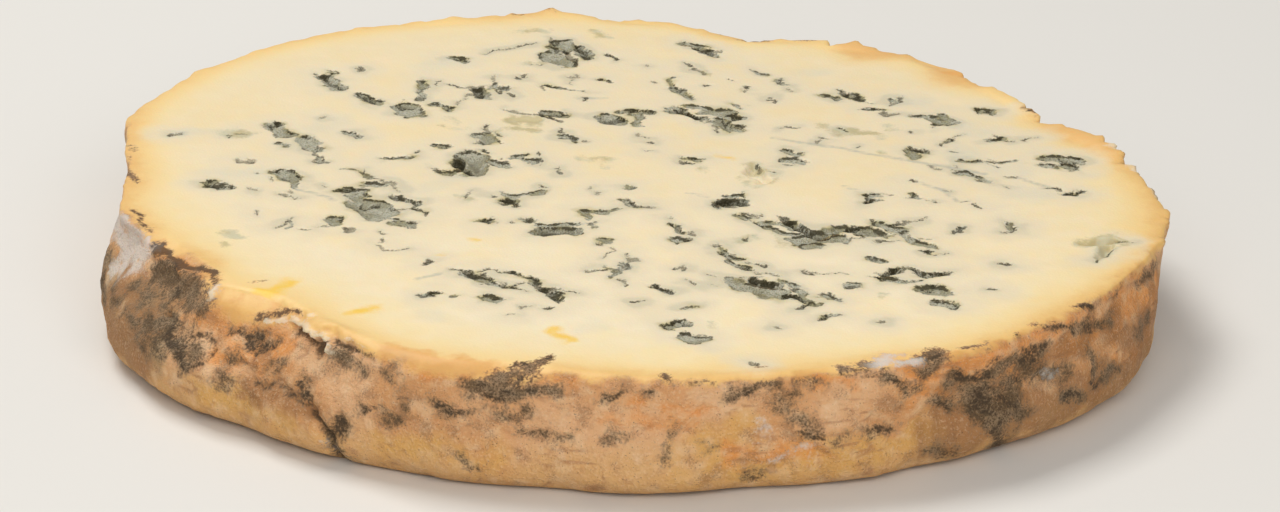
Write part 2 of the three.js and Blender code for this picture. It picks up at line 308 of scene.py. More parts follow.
# %% Shallow grey fur: width, then the points of the line
FUR = [
    (1.6, -9.8, 52.4, -8.6, 50.4), (1.3, -22.6, 47.2, -21.0, 45.8), (1.4, 8.4, 54.0, 10.8, 52.8),
    (1.0, 12.0, 50.0, 12.7, 48.2), (0.9, 6.6, 39.4, 6.4, 36.8, 8.0, 34.2), (1.5, 7.4, 34.4, 9.2, 31.0),
    (1.0, -3.0, 38.8, -1.8, 37.8), (1.0, 20.4, 38.4, 22.0, 37.0), (0.8, 18.0, 42.4, 18.8, 41.4),
    (1.2, 26.8, 32.4, 28.4, 31.0), (1.0, 32.0, 26.4, 34.0, 26.2), (1.2, 35.2, 30.4, 36.8, 30.0),
    (0.9, 37.8, 23.8, 40.2, 23.6), (1.2, 41.8, 24.4, 43.0, 21.2), (1.2, 47.2, 26.2, 48.6, 25.4),
    (1.4, 47.2, 14.8, 49.0, 15.2), (0.8, 41.6, 14.2, 42.6, 13.6), (1.4, 36.8, 8.8, 37.4, 7.4),
    (1.0, 43.0, 6.6, 45.6, 6.0), (0.6, 46.0, 6.4, 50.2, 5.8), (1.2, 42.0, 2.2, 45.0, 0.4, 46.0, -1.6),
    (1.0, 53.2, 5.4, 55.0, 3.8), (1.8, 9.0, 27.8, 13.6, 25.6), (1.0, 6.4, 27.4, 8.6, 25.6),
    (1.5, -9.8, 25.4, -7.4, 24.4), (1.5, -7.4, 16.4, -6.0, 14.8), (1.0, -13.4, 8.0, -12.0, 9.2),
    (0.5, -7.7, 3.4, -7.6, 1.2), (0.9, 8.2, 7.2, 9.8, 6.2), (1.1, -38.2, 8.8, -37.6, 7.4),
    (1.0, -44.2, 13.6, -43.2, 12.6), (0.9, -30.8, 8.4, -29.2, 7.6, -26.8, 8.6),
    (1.4, -23.6, 13.0, -22.4, 12.2), (0.5, -34.6, 4.8, -32.6, 4.2, -31.0, 1.0),
    (1.6, -31.8, -1.0, -29.4, -1.8), (0.9, -52.0, 0.2, -50.6, -0.6), (1.5, -34.2, -2.6, -31.4, -5.6),
    (1.2, -26.4, -6.6, -25.0, -8.2), (0.9, -28.6, -13.6, -26.6, -15.0), (0.5, -40.4, -14.2, -40.2, -16.8),
    (1.6, -14.4, -5.0, -12.8, -7.0), (1.1, -12.6, -6.4, -10.0, -4.6), (1.2, -16.8, -15.0, -15.8, -15.8),
    (0.9, -11.8, -14.6, -10.8, -15.0), (1.2, -10.0, -16.6, -5.6, -16.4), (1.2, -4.4, -12.8, -3.8, -14.8),
    (0.8, -2.0, -12.4, 0.2, -11.4), (0.5, -4.4, -16.6, -3.0, -17.6, -2.4, -16.6),
    (1.0, 0.6, -3.6, 1.4, -4.2), (1.2, 14.4, -14.0, 16.2, -14.4), (0.9, 13.4, -7.2, 15.2, -6.4),
    (1.0, -2.4, -21.6, -1.2, -22.6), (1.1, 0.8, -29.6, 1.2, -31.6), (0.8, 0.2, -31.4, -0.4, -33.8),
    (0.6, -2.0, -31.0, -1.0, -32.8), (1.0, 11.8, -24.8, 12.6, -26.8), (0.9, 13.0, -29.4, 15.4, -31.6),
    (1.2, 13.6, -35.0, 14.2, -37.2), (1.0, 19.4, -34.8, 20.6, -36.4), (1.0, 21.0, -37.6, 22.2, -41.0),
    (0.9, 3.6, -37.2, 5.6, -38.8), (1.2, 24.0, -39.8, 25.2, -41.2), (1.4, 17.2, -16.4, 19.6, -16.6),
    (1.4, 18.2, -18.0, 20.8, -20.2), (1.2, 22.8, -24.0, 24.2, -24.6), (1.4, 36.0, -22.6, 37.4, -24.0),
    (1.2, 30.4, -28.2, 31.4, -29.0), (0.9, 33.4, -35.2, 35.4, -34.6), (1.0, 27.4, -36.6, 28.2, -37.0),
    (1.1, 23.8, -46.6, 25.0, -45.8), (0.7, 7.4, -44.2, 9.0, -43.2), (1.4, -18.0, -33.4, -16.2, -35.2),
    (1.1, -15.8, -35.8, -13.0, -37.4), (1.1, -12.4, -33.4, -9.8, -35.8), (0.9, -22.6, -40.0, -21.6, -39.2),
    (0.8, -19.2, -41.0, -18.6, -40.8), (1.0, 36.0, -6.4, 36.8, -8.0), (1.3, 30.6, -7.4, 32.0, -6.6),
    (0.8, 41.0, -18.8, 41.6, -18.0), (0.8, 36.6, -25.8, 37.4, -26.4),
    (0.7, 15.0, 28.6, 15.2, 27.4, 16.0, 27.6), (1.2, -36.0, 18.4, -34.0, 17.0),
    (0.4, -10.2, 36.2, -8.4, 35.0, -5.0, 33.8), (0.6, -14.0, 39.6, -13.2, 38.6),
    (1.0, -17.2, 34.6, -16.4, 36.4),
]
print(len(FUR), "furry patches")

# %% Cool mist in the paste: width, then the points of the line
MIST = [
    (2.4, 46.0, 17.0, 44.0, 19.4), (2.0, 44.0, 10.0, 42.0, 8.0), (2.6, -21.5, -47.0, -21.0, -47.4),
    (1.4, -2.8, -49.4, -2.4, -49.6), (2.0, 49.0, -6.0, 52.0, -6.4), (2.0, -38.0, 20.0, -36.4, 22.0),
    (2.0, 24.0, 42.0, 26.0, 42.0), (2.4, -26.0, 44.0, -22.0, 45.6), (2.0, 46.4, 3.4, 50.0, 2.6),
    (2.0, 37.6, 30.0, 40.0, 29.0), (2.0, -56.0, 17.6, -52.0, 18.4), (2.4, -50.0, 3.0, -46.0, 2.4),
    (2.0, 30.0, -24.4, 33.0, -25.0), (2.0, -24.0, -2.0, -21.0, 0.0),
]
print(len(MIST), "misty places")

# %% Where the needle went in: width, then the points of the line
NEEDLE = [
    (0.5, 19.6, 14.8, 28.0, 10.8, 35.0, 7.0, 41.0, 3.8, 46.0, 1.2), (0.4, 50.0, 0.0, 54.0, -3.6),
    (0.4, 37.0, -2.0, 40.2, -5.0, 41.6, -8.6), (0.4, 8.4, -5.8, 11.0, -7.2), (0.4, 27.6, -3.8, 29.6, -5.2),
    (0.4, -40.4, -2.6, -36.2, -5.8, -35.4, -7.4), (0.3, -6.0, 31.0, -2.0, 31.2),
    (0.4, -21.0, -33.0, -24.0, -35.0),
]
print(len(NEEDLE), "needle marks")

# %% Almost black lines and flecks: width, then the points
# Some of the wider lines lie inside the deeper hollows: dark mould there, deepened by painted shade of the
# hollows' walls
INK = [
    (0.6, -9.6, 56.0, -8.8, 54.6), (0.6, -9.6, 53.6, -8.4, 50.4), (0.9, -7.6, 51.8, -6.9, 48.8, -6.4, 45.8),
    (0.9, -6.6, 51.8, -5.4, 51.0, -4.6, 48.2), (0.5, -6.4, 52.8, -5.6, 51.8),
    (0.4, -10.6, 49.4, -10.8, 48.0, -9.8, 45.4), (0.7, -4.6, 47.6, -4.2, 47.3),
    (0.5, -11.8, 44.6, -11.2, 44.4), (0.8, -1.9, 48.6, -1.0, 47.2), (0.3, 8.2, 54.6, 8.6, 53.4),
    (1.1, 10.0, 52.6, 11.4, 50.8), (0.6, 10.4, 51.8, 13.2, 51.0), (0.6, 12.4, 48.8, 12.9, 47.8),
    (0.5, -40.6, 40.7, -39.4, 39.0), (0.9, -39.4, 39.6, -38.6, 36.6), (0.5, -38.0, 37.0, -37.0, 34.4),
    (0.5, -38.5, 41.2, -38.2, 40.2), (0.8, -35.2, 42.8, -34.8, 41.9), (0.7, -34.2, 32.4, -32.6, 30.2),
    (0.8, -33.4, 30.6, -32.0, 28.6), (0.4, -32.6, 31.4, -31.2, 30.2),
    (0.4, -29.0, 30.2, -28.9, 28.4, -26.4, 27.0), (0.4, -26.4, 28.0, -26.2, 26.8),
    (0.6, -26.0, 25.8, -25.6, 25.2), (0.3, -29.4, 25.6, -27.6, 23.4),
    (0.5, -26.0, 35.2, -26.6, 33.6, -26.4, 32.4), (0.9, -26.4, 31.6, -26.2, 30.9),
    (0.3, -26.2, 38.6, -25.9, 37.2), (0.4, -23.4, 38.2, -24.2, 37.8, -24.4, 36.0),
    (0.5, -23.0, 36.8, -21.4, 35.2), (0.8, -21.4, 35.2, -19.4, 35.4), (1.3, -19.2, 34.6, -18.6, 31.8),
    (0.5, -18.8, 35.6, -16.8, 36.6, -17.0, 39.6), (0.5, -15.6, 35.8, -15.0, 34.8),
    (0.5, -16.2, 33.6, -15.8, 32.8), (0.6, -19.2, 32.8, -20.4, 32.6, -21.0, 30.6, -21.6, 29.2),
    (0.8, -14.5, 33.0, -13.6, 31.4), (0.4, -25.0, 28.9, -24.2, 28.5), (0.6, -22.9, 27.2, -22.0, 26.6),
    (0.4, -23.2, 28.4, -22.8, 27.8), (0.5, -17.8, 49.0, -16.8, 50.4), (0.7, -16.8, 50.4, -15.2, 51.1),
    (0.4, -14.6, 51.4, -11.6, 53.8), (0.4, -23.0, 47.0, -21.6, 46.6), (0.6, -38.9, 23.3, -38.2, 24.0),
    (0.8, -45.2, 21.8, -44.5, 20.8), (0.4, -45.2, 20.6, -44.4, 17.6), (0.3, -44.0, 16.2, -42.6, 16.4),
    (0.5, -42.2, 18.4, -41.8, 17.8), (0.4, -41.0, 16.6, -40.2, 15.8), (0.5, -38.6, 12.4, -38.4, 11.4),
    (0.4, -40.0, 12.4, -38.8, 10.4, -38.3, 9.6), (1.1, -38.8, 7.6, -38.0, 7.2),
    (0.5, -37.6, 9.4, -37.2, 8.6), (0.4, -33.6, 17.6, -33.3, 16.6), (0.4, -34.9, 17.0, -34.7, 16.6),
    (0.5, -50.6, 17.4, -50.2, 16.8), (0.4, -50.0, 17.2, -47.8, 17.4), (0.9, -57.8, 17.5, -56.9, 17.1),
    (0.7, -48.8, 7.8, -48.0, 6.8, -46.2, 6.9), (0.4, -46.9, 7.8, -46.3, 7.0), (0.8, -31.0, 8.6, -30.4, 8.0),
    (0.5, -30.0, 7.4, -28.6, 8.0, -26.8, 8.6), (0.7, -26.2, 10.0, -25.5, 11.2),
    # The two wide lines here lie in a deep hollow: dark mould with painted shade of its left wall
    (0.4, -23.9, 13.4, -23.4, 12.6), (0.4, -22.2, 13.2, -22.4, 12.4), (1.3, -20.4, 8.6, -20.4, 4.6),
    (1.5, -20.6, 5.6, -19.2, 3.4), (0.4, -23.6, 4.8, -21.4, 4.0), (0.3, -23.0, 2.8, -20.6, 2.0),
    (0.5, -16.8, 6.4, -15.4, 6.4), (0.9, -15.6, 5.2, -15.2, 4.4), (0.5, -14.9, 8.2, -15.4, 7.8),
    (0.6, -17.2, 11.0, -16.6, 10.2), (0.4, -19.8, 11.4, -19.6, 10.6), (0.5, -17.4, 20.8, -17.5, 19.4),
    (0.8, -17.6, 19.2, -17.2, 18.4), (0.5, -16.2, 18.4, -15.6, 16.2), (0.4, -18.8, 13.8, -17.2, 13.8),
    (0.5, -15.8, 13.8, -15.2, 13.4), (0.3, -18.6, 17.0, -18.9, 14.6), (0.4, -32.2, 5.0, -32.0, 3.6),
    (0.4, -30.9, 0.8, -29.6, -0.2), (0.4, -45.4, 3.4, -45.2, 3.2), (0.4, 3.6, 44.8, 3.6, 44.0),
    (0.7, 8.4, 46.2, 8.9, 44.4), (0.7, 9.6, 43.4, 11.2, 41.2), (0.3, 6.2, 39.0, 6.8, 38.0),
    (0.5, 7.0, 36.6, 7.8, 35.6), (0.4, 8.0, 35.2, 7.6, 33.4), (0.4, 9.2, 33.4, 9.0, 32.4),
    (0.5, 9.4, 31.6, 9.9, 30.6), (0.9, 11.1, 36.7, 11.3, 36.7), (0.6, 14.2, 39.2, 14.3, 38.8),
    (0.6, 4.0, 37.6, 4.1, 37.3), (0.6, -3.4, 39.2, -1.6, 37.8), (0.5, -5.9, 41.2, -6.0, 39.8),
    (0.6, -7.0, 39.6, -6.0, 39.2), (0.3, -6.2, 38.6, -6.2, 36.6), (0.7, -12.8, 40.6, -12.5, 39.8),
    (0.4, -10.4, 36.4, -10.2, 34.2), (0.4, -10.2, 36.4, -8.6, 35.2), (0.5, -4.9, 34.2, -4.6, 33.4),
    (0.5, -5.0, 31.2, -4.7, 30.6), (0.5, 21.0, 37.2, 22.0, 37.6), (0.5, 22.4, 35.4, 22.8, 34.6),
    (0.4, 16.2, 36.0, 16.6, 35.4), (0.5, 16.8, 34.8, 16.6, 33.4), (0.5, 19.2, 30.8, 20.0, 30.8, 19.7, 29.6),
    (0.4, 19.9, 32.0, 19.8, 31.2), (0.8, 28.8, 34.4, 29.6, 33.4, 31.6, 30.6), (0.4, 26.6, 31.8, 27.4, 32.2),
    (0.6, 27.6, 31.2, 28.4, 30.4), (0.6, 32.2, 29.8, 32.8, 29.2), (0.6, 31.8, 26.2, 33.8, 26.5),
    (0.7, 34.0, 25.0, 34.8, 23.8, 36.0, 24.2), (0.6, 36.6, 31.9, 37.4, 30.6),
    (0.4, 37.2, 30.6, 36.8, 29.0, 35.4, 28.6), (0.3, 35.0, 30.0, 35.0, 29.0), (0.6, 40.6, 20.2, 42.0, 20.0),
    (0.6, 42.2, 20.6, 43.2, 20.6), (0.4, 41.0, 19.6, 40.2, 19.0), (0.4, 46.8, 26.8, 47.0, 25.0, 48.0, 24.6),
    (0.4, 47.6, 26.0, 48.4, 25.6), (0.5, 36.4, 17.8, 37.4, 16.4), (0.3, 43.6, 16.0, 42.8, 14.6),
    (0.5, 42.8, 14.4, 41.4, 12.4), (0.5, 47.6, 15.2, 48.6, 15.6), (0.4, 48.4, 16.6, 48.8, 15.6),
    (0.4, 46.6, 13.8, 47.6, 14.2), (0.5, 49.0, 14.6, 50.2, 13.4), (0.6, 51.4, 13.6, 52.0, 14.6),
    (0.3, 52.0, 14.8, 53.4, 15.8), (1.0, 37.0, 11.2, 38.4, 10.2), (0.5, 38.6, 10.8, 39.4, 10.4),
    (0.4, 36.0, 10.2, 36.4, 9.2), (0.4, 42.2, 10.4, 42.4, 9.4), (0.5, 42.6, 6.2, 44.4, 5.8),
    (0.5, 45.8, 6.6, 47.4, 6.4), (0.4, 47.2, 7.4, 47.6, 6.6), (0.4, 46.0, 5.6, 47.4, 4.0),
    (0.4, 39.0, 4.4, 40.2, 3.0), (0.4, 42.2, 3.8, 42.5, 3.4), (0.5, 48.2, 0.2, 49.6, 0.5),
    (0.4, 44.2, -0.6, 45.4, -1.6, 46.4, -1.8), (0.4, 47.4, -3.2, 48.0, -4.0), (0.4, 53.0, 7.4, 54.4, 6.8),
    (0.4, 55.6, 8.2, 56.4, 7.0), (0.4, 57.6, 7.6, 58.6, 7.4), (0.4, 56.2, 6.4, 55.8, 5.0),
    (0.5, 57.0, 6.6, 57.2, 4.2), (0.5, 57.2, 3.8, 58.0, 2.6), (0.6, 53.4, -3.4, 54.4, -4.2),
    (0.9, 55.2, -5.2, 57.0, -5.0), (0.8, 56.2, -4.6, 56.6, -6.0), (0.3, -2.8, 23.6, -1.4, 21.6, 0.2, 20.8),
    (0.8, -2.2, 22.6, -0.2, 22.8), (0.4, 0.4, 26.0, 2.6, 26.6), (0.7, 2.4, 26.6, 2.9, 26.4),
    (0.4, 3.6, 26.0, 4.3, 24.6), (0.3, 2.4, 25.4, 2.8, 23.0), (1.5, 7.4, 25.8, 10.2, 22.8),
    (0.5, 12.0, 24.8, 13.0, 22.6), (0.4, 14.6, 25.2, 15.6, 22.8), (0.5, 13.6, 25.0, 15.0, 23.8),
    (0.5, 12.8, 22.4, 13.4, 21.4), (0.4, 12.2, 19.8, 12.4, 17.4), (0.3, 13.0, 19.0, 14.6, 18.0),
    (0.5, 15.4, 20.0, 16.2, 18.6), (0.4, 14.4, 21.6, 14.6, 19.6), (0.4, 13.6, 21.4, 13.4, 19.2),
    (0.5, -15.4, 27.0, -13.0, 25.0, -10.2, 24.6), (0.8, -10.2, 24.6, -7.8, 22.0),
    (0.3, -7.0, 26.4, -7.8, 24.6), (0.5, -9.0, 24.6, -7.4, 25.0), (0.5, -7.5, 19.0, -7.2, 17.4),
    (0.7, -7.6, 15.4, -6.4, 15.2, -5.6, 14.0), (0.5, -4.4, 14.6, -4.0, 13.9),
    (0.4, 2.4, 17.0, 2.6, 15.8, 3.4, 15.4), (0.8, 3.4, 13.7, 4.0, 13.7), (0.4, 3.5, 10.4, 3.8, 10.3),
    (0.6, -10.4, 10.6, -10.0, 9.8), (0.4, -12.0, 9.8, -11.4, 8.0), (0.3, -10.4, 8.0, -10.0, 5.2),
    (0.4, -8.6, 4.2, -7.6, 3.6), (0.4, -7.8, 4.6, -7.6, 3.6), (0.4, 7.6, 7.6, 8.6, 7.0, 10.8, 6.2),
    (0.8, 8.2, 5.8, 8.8, 5.3), (0.4, 20.8, 10.6, 21.4, 10.0), (0.4, 22.6, 9.8, 23.2, 9.2),
    (0.4, 21.4, 8.6, 22.2, 7.6), (0.6, 22.8, 6.6, 24.0, 6.2), (0.3, 20.0, 7.2, 20.2, 5.6),
    (0.3, 20.2, 4.6, 21.6, 4.4), (0.4, 18.4, 1.6, 19.4, 1.4), (0.5, 17.2, 4.0, 17.8, 2.2),
    (0.6, 21.4, 19.4, 22.8, 19.2), (0.4, 20.7, 19.0, 20.8, 18.4), (0.7, 28.2, 18.6, 28.8, 17.2),
    (0.7, 25.8, 15.2, 26.6, 14.6), (0.4, 25.6, 14.4, 25.2, 12.4), (0.3, 30.7, 11.4, 30.7, 10.8),
    (0.6, -43.4, 4.2, -43.0, 3.2), (0.4, -42.4, 3.8, -40.8, 3.2), (0.7, -40.4, 3.0, -39.8, 1.6),
    (0.3, -44.0, 1.4, -43.0, 0.2), (0.5, -42.0, 1.6, -41.0, 1.0), (0.4, -41.2, -3.4, -41.0, -4.6),
    (0.5, -41.6, -4.8, -41.3, -5.2), (0.5, -40.6, -5.8, -40.4, -6.1), (0.5, -51.8, 0.4, -51.2, 0.0),
    (0.6, -51.4, -0.4, -50.0, -1.6, -48.6, -2.2), (0.4, -50.8, -2.4, -48.4, -2.4),
    (0.6, -46.4, -2.4, -45.8, -3.2), (0.6, -29.6, 0.0, -28.6, -0.8), (0.3, -28.6, -0.8, -26.8, -4.0),
    (0.4, -31.8, -1.4, -31.2, -2.0), (0.5, -35.0, -2.8, -32.2, -2.8), (0.7, -35.4, -3.6, -34.6, -3.2),
    (0.5, -32.0, -4.4, -30.8, -5.6), (0.4, -31.8, -7.6, -31.2, -9.0, -30.2, -8.2),
    (0.3, -32.8, -9.0, -31.4, -13.0), (0.3, -31.2, -14.0, -29.0, -14.2), (1.1, -28.2, -5.4, -25.6, -8.0),
    (0.4, -28.8, -9.0, -28.2, -10.4), (0.6, -28.2, -10.4, -26.8, -10.6, -25.4, -10.0),
    (0.5, -25.0, -9.4, -24.0, -10.4, -23.4, -12.2), (0.5, -25.6, -15.2, -24.6, -15.6),
    (0.3, -27.4, -16.4, -25.8, -17.0), (0.4, -40.4, -13.2, -41.0, -15.0), (0.5, -41.0, -15.0, -41.8, -16.8),
    (0.4, -34.6, -13.2, -34.0, -14.6), (0.4, -35.4, -16.0, -36.6, -16.6), (0.7, -38.2, -17.6, -37.4, -18.2),
    (0.7, -33.2, -17.2, -32.4, -18.0), (0.6, -28.9, -18.6, -28.4, -19.4), (0.4, -29.0, -21.0, -28.8, -22.0),
    (0.5, -28.9, -22.8, -28.6, -24.0, -27.4, -24.8), (0.4, -27.4, -24.4, -26.4, -25.0, -25.6, -24.8),
    (0.9, -23.2, -29.6, -22.6, -29.0), (0.4, -18.6, -4.6, -19.4, -7.2), (0.6, -16.4, -5.6, -16.0, -6.0),
    (0.9, -14.8, -8.6, -13.6, -9.0), (1.0, -14.4, -6.8, -13.4, -8.2), (0.7, -12.8, -9.6, -12.2, -9.8),
    (0.4, -10.0, -2.6, -9.6, -3.4), (0.4, -17.0, -14.8, -15.8, -14.4), (0.7, -16.6, -15.2, -15.8, -16.2),
    (0.4, -13.0, -15.2, -12.9, -15.6), (0.4, -11.8, -14.2, -10.6, -14.8), (0.7, -11.2, -15.4, -10.8, -14.4),
    (0.6, -4.9, -19.4, -4.8, -19.6), (0.4, -20.2, -31.4, -19.8, -32.6),
    (0.7, -20.0, -31.6, -18.4, -32.0, -17.2, -34.2), (0.6, -17.0, -32.6, -15.6, -31.4, -14.6, -32.4),
    (0.8, -16.2, -33.4, -15.2, -35.4), (0.4, -14.6, -33.0, -12.8, -33.2), (0.9, -13.4, -36.6, -12.2, -38.0),
    (0.4, -12.2, -37.0, -11.4, -36.0), (0.4, -12.0, -37.6, -11.0, -38.8),
    (0.7, -12.8, -33.2, -10.4, -34.4, -9.2, -37.0), (0.9, -9.2, -37.2, -7.4, -38.2),
    (0.4, -7.4, -38.2, -5.0, -39.6), (0.7, -9.4, -38.0, -7.6, -39.6, -6.0, -41.6),
    (0.4, -8.2, -39.6, -6.6, -42.2), (0.4, -22.8, -39.6, -21.8, -38.8, -20.8, -38.8),
    (0.6, -22.4, -40.2, -22.4, -41.0), (0.4, -16.4, -40.0, -15.2, -39.8), (0.4, -16.6, -40.6, -16.0, -42.0),
    (0.4, -14.4, -41.0, -13.2, -41.4), (0.7, -11.4, -44.4, -10.4, -44.0), (0.4, -8.2, -44.0, -7.2, -43.6),
    (0.5, -12.4, -46.6, -11.8, -46.2), (0.4, -4.0, -4.2, -3.2, -3.0), (0.4, -3.6, -4.8, -2.2, -5.4),
    (0.4, 0.8, -4.0, 1.2, -4.6), (0.4, 1.4, -3.2, 1.6, -4.2), (0.5, 0.4, -7.6, 2.2, -9.4, 4.0, -11.0),
    (0.4, 0.0, -8.6, 1.6, -10.4), (1.9, 12.8, -8.8, 14.4, -9.4), (1.0, 13.0, -9.8, 14.0, -10.8),
    (0.4, 15.4, -5.4, 15.0, -7.6), (0.4, 11.0, -9.8, 12.4, -9.6),
    (0.4, 14.2, -13.8, 15.6, -13.2, 16.8, -13.6), (0.6, 15.0, -14.6, 16.0, -15.0),
    (0.8, 5.8, -14.5, 6.2, -14.6), (0.5, 6.2, -16.4, 6.8, -17.6, 8.0, -19.2), (0.5, 8.2, -19.4, 9.2, -20.6),
    (0.8, 7.4, -22.8, 8.6, -22.0), (0.4, 8.4, -21.2, 8.8, -22.2), (0.4, -2.6, -22.4, -2.2, -23.6),
    (0.4, -1.4, -24.6, -0.9, -25.8, -1.8, -28.0), (0.4, 0.8, -26.8, 1.4, -28.8),
    (0.8, 1.4, -28.4, 1.8, -29.2), (0.5, 1.4, -29.0, 1.2, -31.4, 0.4, -32.4),
    (0.5, -3.8, -32.6, -2.4, -32.0), (0.7, 0.2, -35.2, 0.6, -36.2),
    (0.5, 6.6, -31.2, 7.2, -30.8, 7.8, -32.0), (0.7, 11.0, -24.2, 12.4, -23.8),
    (0.4, 12.0, -24.6, 12.6, -26.2, 14.2, -27.0, 14.8, -28.8), (0.6, 12.2, -27.0, 12.6, -28.2, 13.6, -28.6),
    (0.6, 15.6, -29.8, 16.4, -29.7, 17.2, -31.0), (0.4, 14.0, -30.6, 15.4, -31.8, 16.4, -33.4),
    (0.3, 16.4, -33.4, 19.0, -33.2), (1.3, 15.6, -34.8, 16.6, -35.6), (1.1, 16.4, -35.8, 17.8, -35.4),
    (0.9, 17.6, -36.2, 18.8, -37.0), (0.4, 20.4, -37.2, 20.6, -38.4),
    (0.8, 19.4, -40.2, 20.4, -40.2, 21.8, -41.2), (0.6, 21.8, -41.4, 23.0, -42.6, 21.6, -43.8, 20.4, -44.2),
    (0.5, 10.6, -33.6, 11.2, -34.6), (0.4, 7.6, -35.6, 9.2, -36.4), (0.4, 10.6, -36.8, 11.4, -37.4),
    (0.4, 3.2, -36.6, 4.0, -38.0), (0.5, 4.0, -37.6, 4.8, -37.6), (0.5, 5.0, -37.8, 6.2, -39.2),
    (0.7, 22.0, -32.8, 22.8, -32.7), (0.3, 23.0, -32.8, 26.8, -32.8), (0.4, 24.8, -39.4, 25.6, -41.6),
    (0.5, 16.6, -15.8, 17.6, -17.6), (0.6, 19.8, -14.4, 20.2, -15.2), (0.5, 20.2, -15.2, 21.8, -18.0),
    (1.1, 21.8, -18.0, 23.0, -20.0), (1.5, 22.6, -20.4, 24.6, -20.8),
    (0.8, 24.6, -20.0, 26.4, -19.0, 28.4, -18.0), (0.9, 28.8, -19.8, 30.8, -20.8),
    (0.5, 30.4, -20.6, 32.2, -21.2), (0.4, 28.0, -21.2, 30.0, -21.6),
    (0.4, 30.4, -15.2, 31.0, -16.8, 33.2, -19.6), (0.7, 33.2, -16.6, 34.2, -15.8),
    (0.4, 34.4, -16.4, 36.4, -15.0, 37.4, -13.8), (0.4, 30.6, -22.2, 35.0, -22.6),
    (0.5, 36.4, -20.8, 37.4, -21.6), (0.3, 23.0, -24.8, 22.2, -23.2), (0.4, 30.4, -28.0, 31.2, -28.4),
    (0.8, 31.0, -33.6, 32.0, -31.4, 33.6, -30.8), (0.5, 33.6, -31.2, 34.6, -31.4),
    (0.6, 31.4, -33.4, 32.6, -33.2, 33.8, -31.8), (0.8, 34.6, -31.8, 36.4, -33.2),
    (0.9, 36.4, -33.4, 38.2, -33.0), (0.5, 38.2, -32.8, 39.2, -31.8), (0.5, 30.0, -34.0, 30.8, -35.2),
    (0.4, 36.6, -36.8, 37.6, -36.8), (0.4, 35.9, -37.6, 36.4, -37.2), (0.6, 38.2, -39.4, 39.0, -39.2),
    (0.4, 37.8, -41.4, 38.4, -41.3), (0.4, 38.8, -41.4, 39.0, -42.6), (0.7, 38.0, -43.0, 39.0, -43.0),
    (0.5, 37.0, -42.8, 37.6, -42.6), (0.5, 27.4, -37.2, 27.8, -37.3), (0.8, 43.5, -37.6, 43.9, -37.7),
    (0.6, 23.0, -47.0, 23.6, -47.1), (0.6, 24.0, -46.6, 24.6, -45.8, 25.2, -46.2),
    (0.6, 2.0, -42.1, 2.8, -42.3), (0.4, 5.4, -48.4, 6.4, -48.2), (0.5, 6.8, -47.6, 7.8, -48.6),
    (0.4, 5.4, -49.0, 6.6, -50.2), (0.4, 7.4, -51.6, 8.0, -51.0), (0.5, 9.4, -51.8, 9.9, -52.2),
    (0.4, 8.0, -53.4, 9.8, -54.0), (0.6, 18.0, -49.0, 18.4, -49.4), (0.6, 30.2, -48.0, 30.5, -48.2),
    (0.5, 14.6, -22.8, 15.8, -21.4), (0.8, 30.2, -7.6, 31.0, -9.4), (0.9, 30.0, -9.8, 31.2, -8.8),
    (0.5, 31.0, -9.0, 32.4, -8.6), (0.3, 30.4, -7.4, 31.4, -6.0, 33.6, -6.2), (0.4, 36.4, -5.8, 36.0, -8.2),
    (0.4, 37.8, -8.4, 38.8, -8.8), (0.5, 36.2, -1.2, 37.0, -1.4), (0.4, 40.0, -4.8, 40.6, -5.2),
    (0.5, 41.8, -9.2, 42.8, -8.8), (0.7, 43.6, -10.2, 44.4, -10.4), (0.7, 46.4, -18.8, 48.4, -18.0),
    (0.4, 48.0, -17.6, 48.6, -17.0), (0.7, 40.6, -19.4, 41.6, -18.2), (0.6, 36.6, -25.6, 37.2, -26.4),
    (0.5, 38.0, -26.8, 39.0, -26.4), (0.7, 45.6, -29.6, 46.6, -30.0), (0.5, 60.2, -21.2, 61.4, -21.8),
    (0.5, 57.0, -29.0, 57.8, -27.2), (0.5, 58.6, -25.6, 59.6, -25.0), (0.5, -44.9, -11.3, -44.8, -11.6),
    (0.5, -37.5, -1.6, -37.4, -2.0), (0.9, 15.3, -60.6, 15.8, -60.8),
]
print(len(INK), "dark lines")

# %% Hollows with a rubbed, pale floor: depth, width, then the points
PALE_HOLLOWS = [
    (1.0, 2.6, 16.6, 3.2, 17.6, -1.8), (1.0, 2.6, 57.2, -22.2, 59.8, -21.6),
    (0.8, 1.8, 59.4, -23.2, 57.6, -27.0), (0.4, 3.0, -13.6, 22.6, -11.0, 22.4),
]
print(len(PALE_HOLLOWS), "pale hollows")

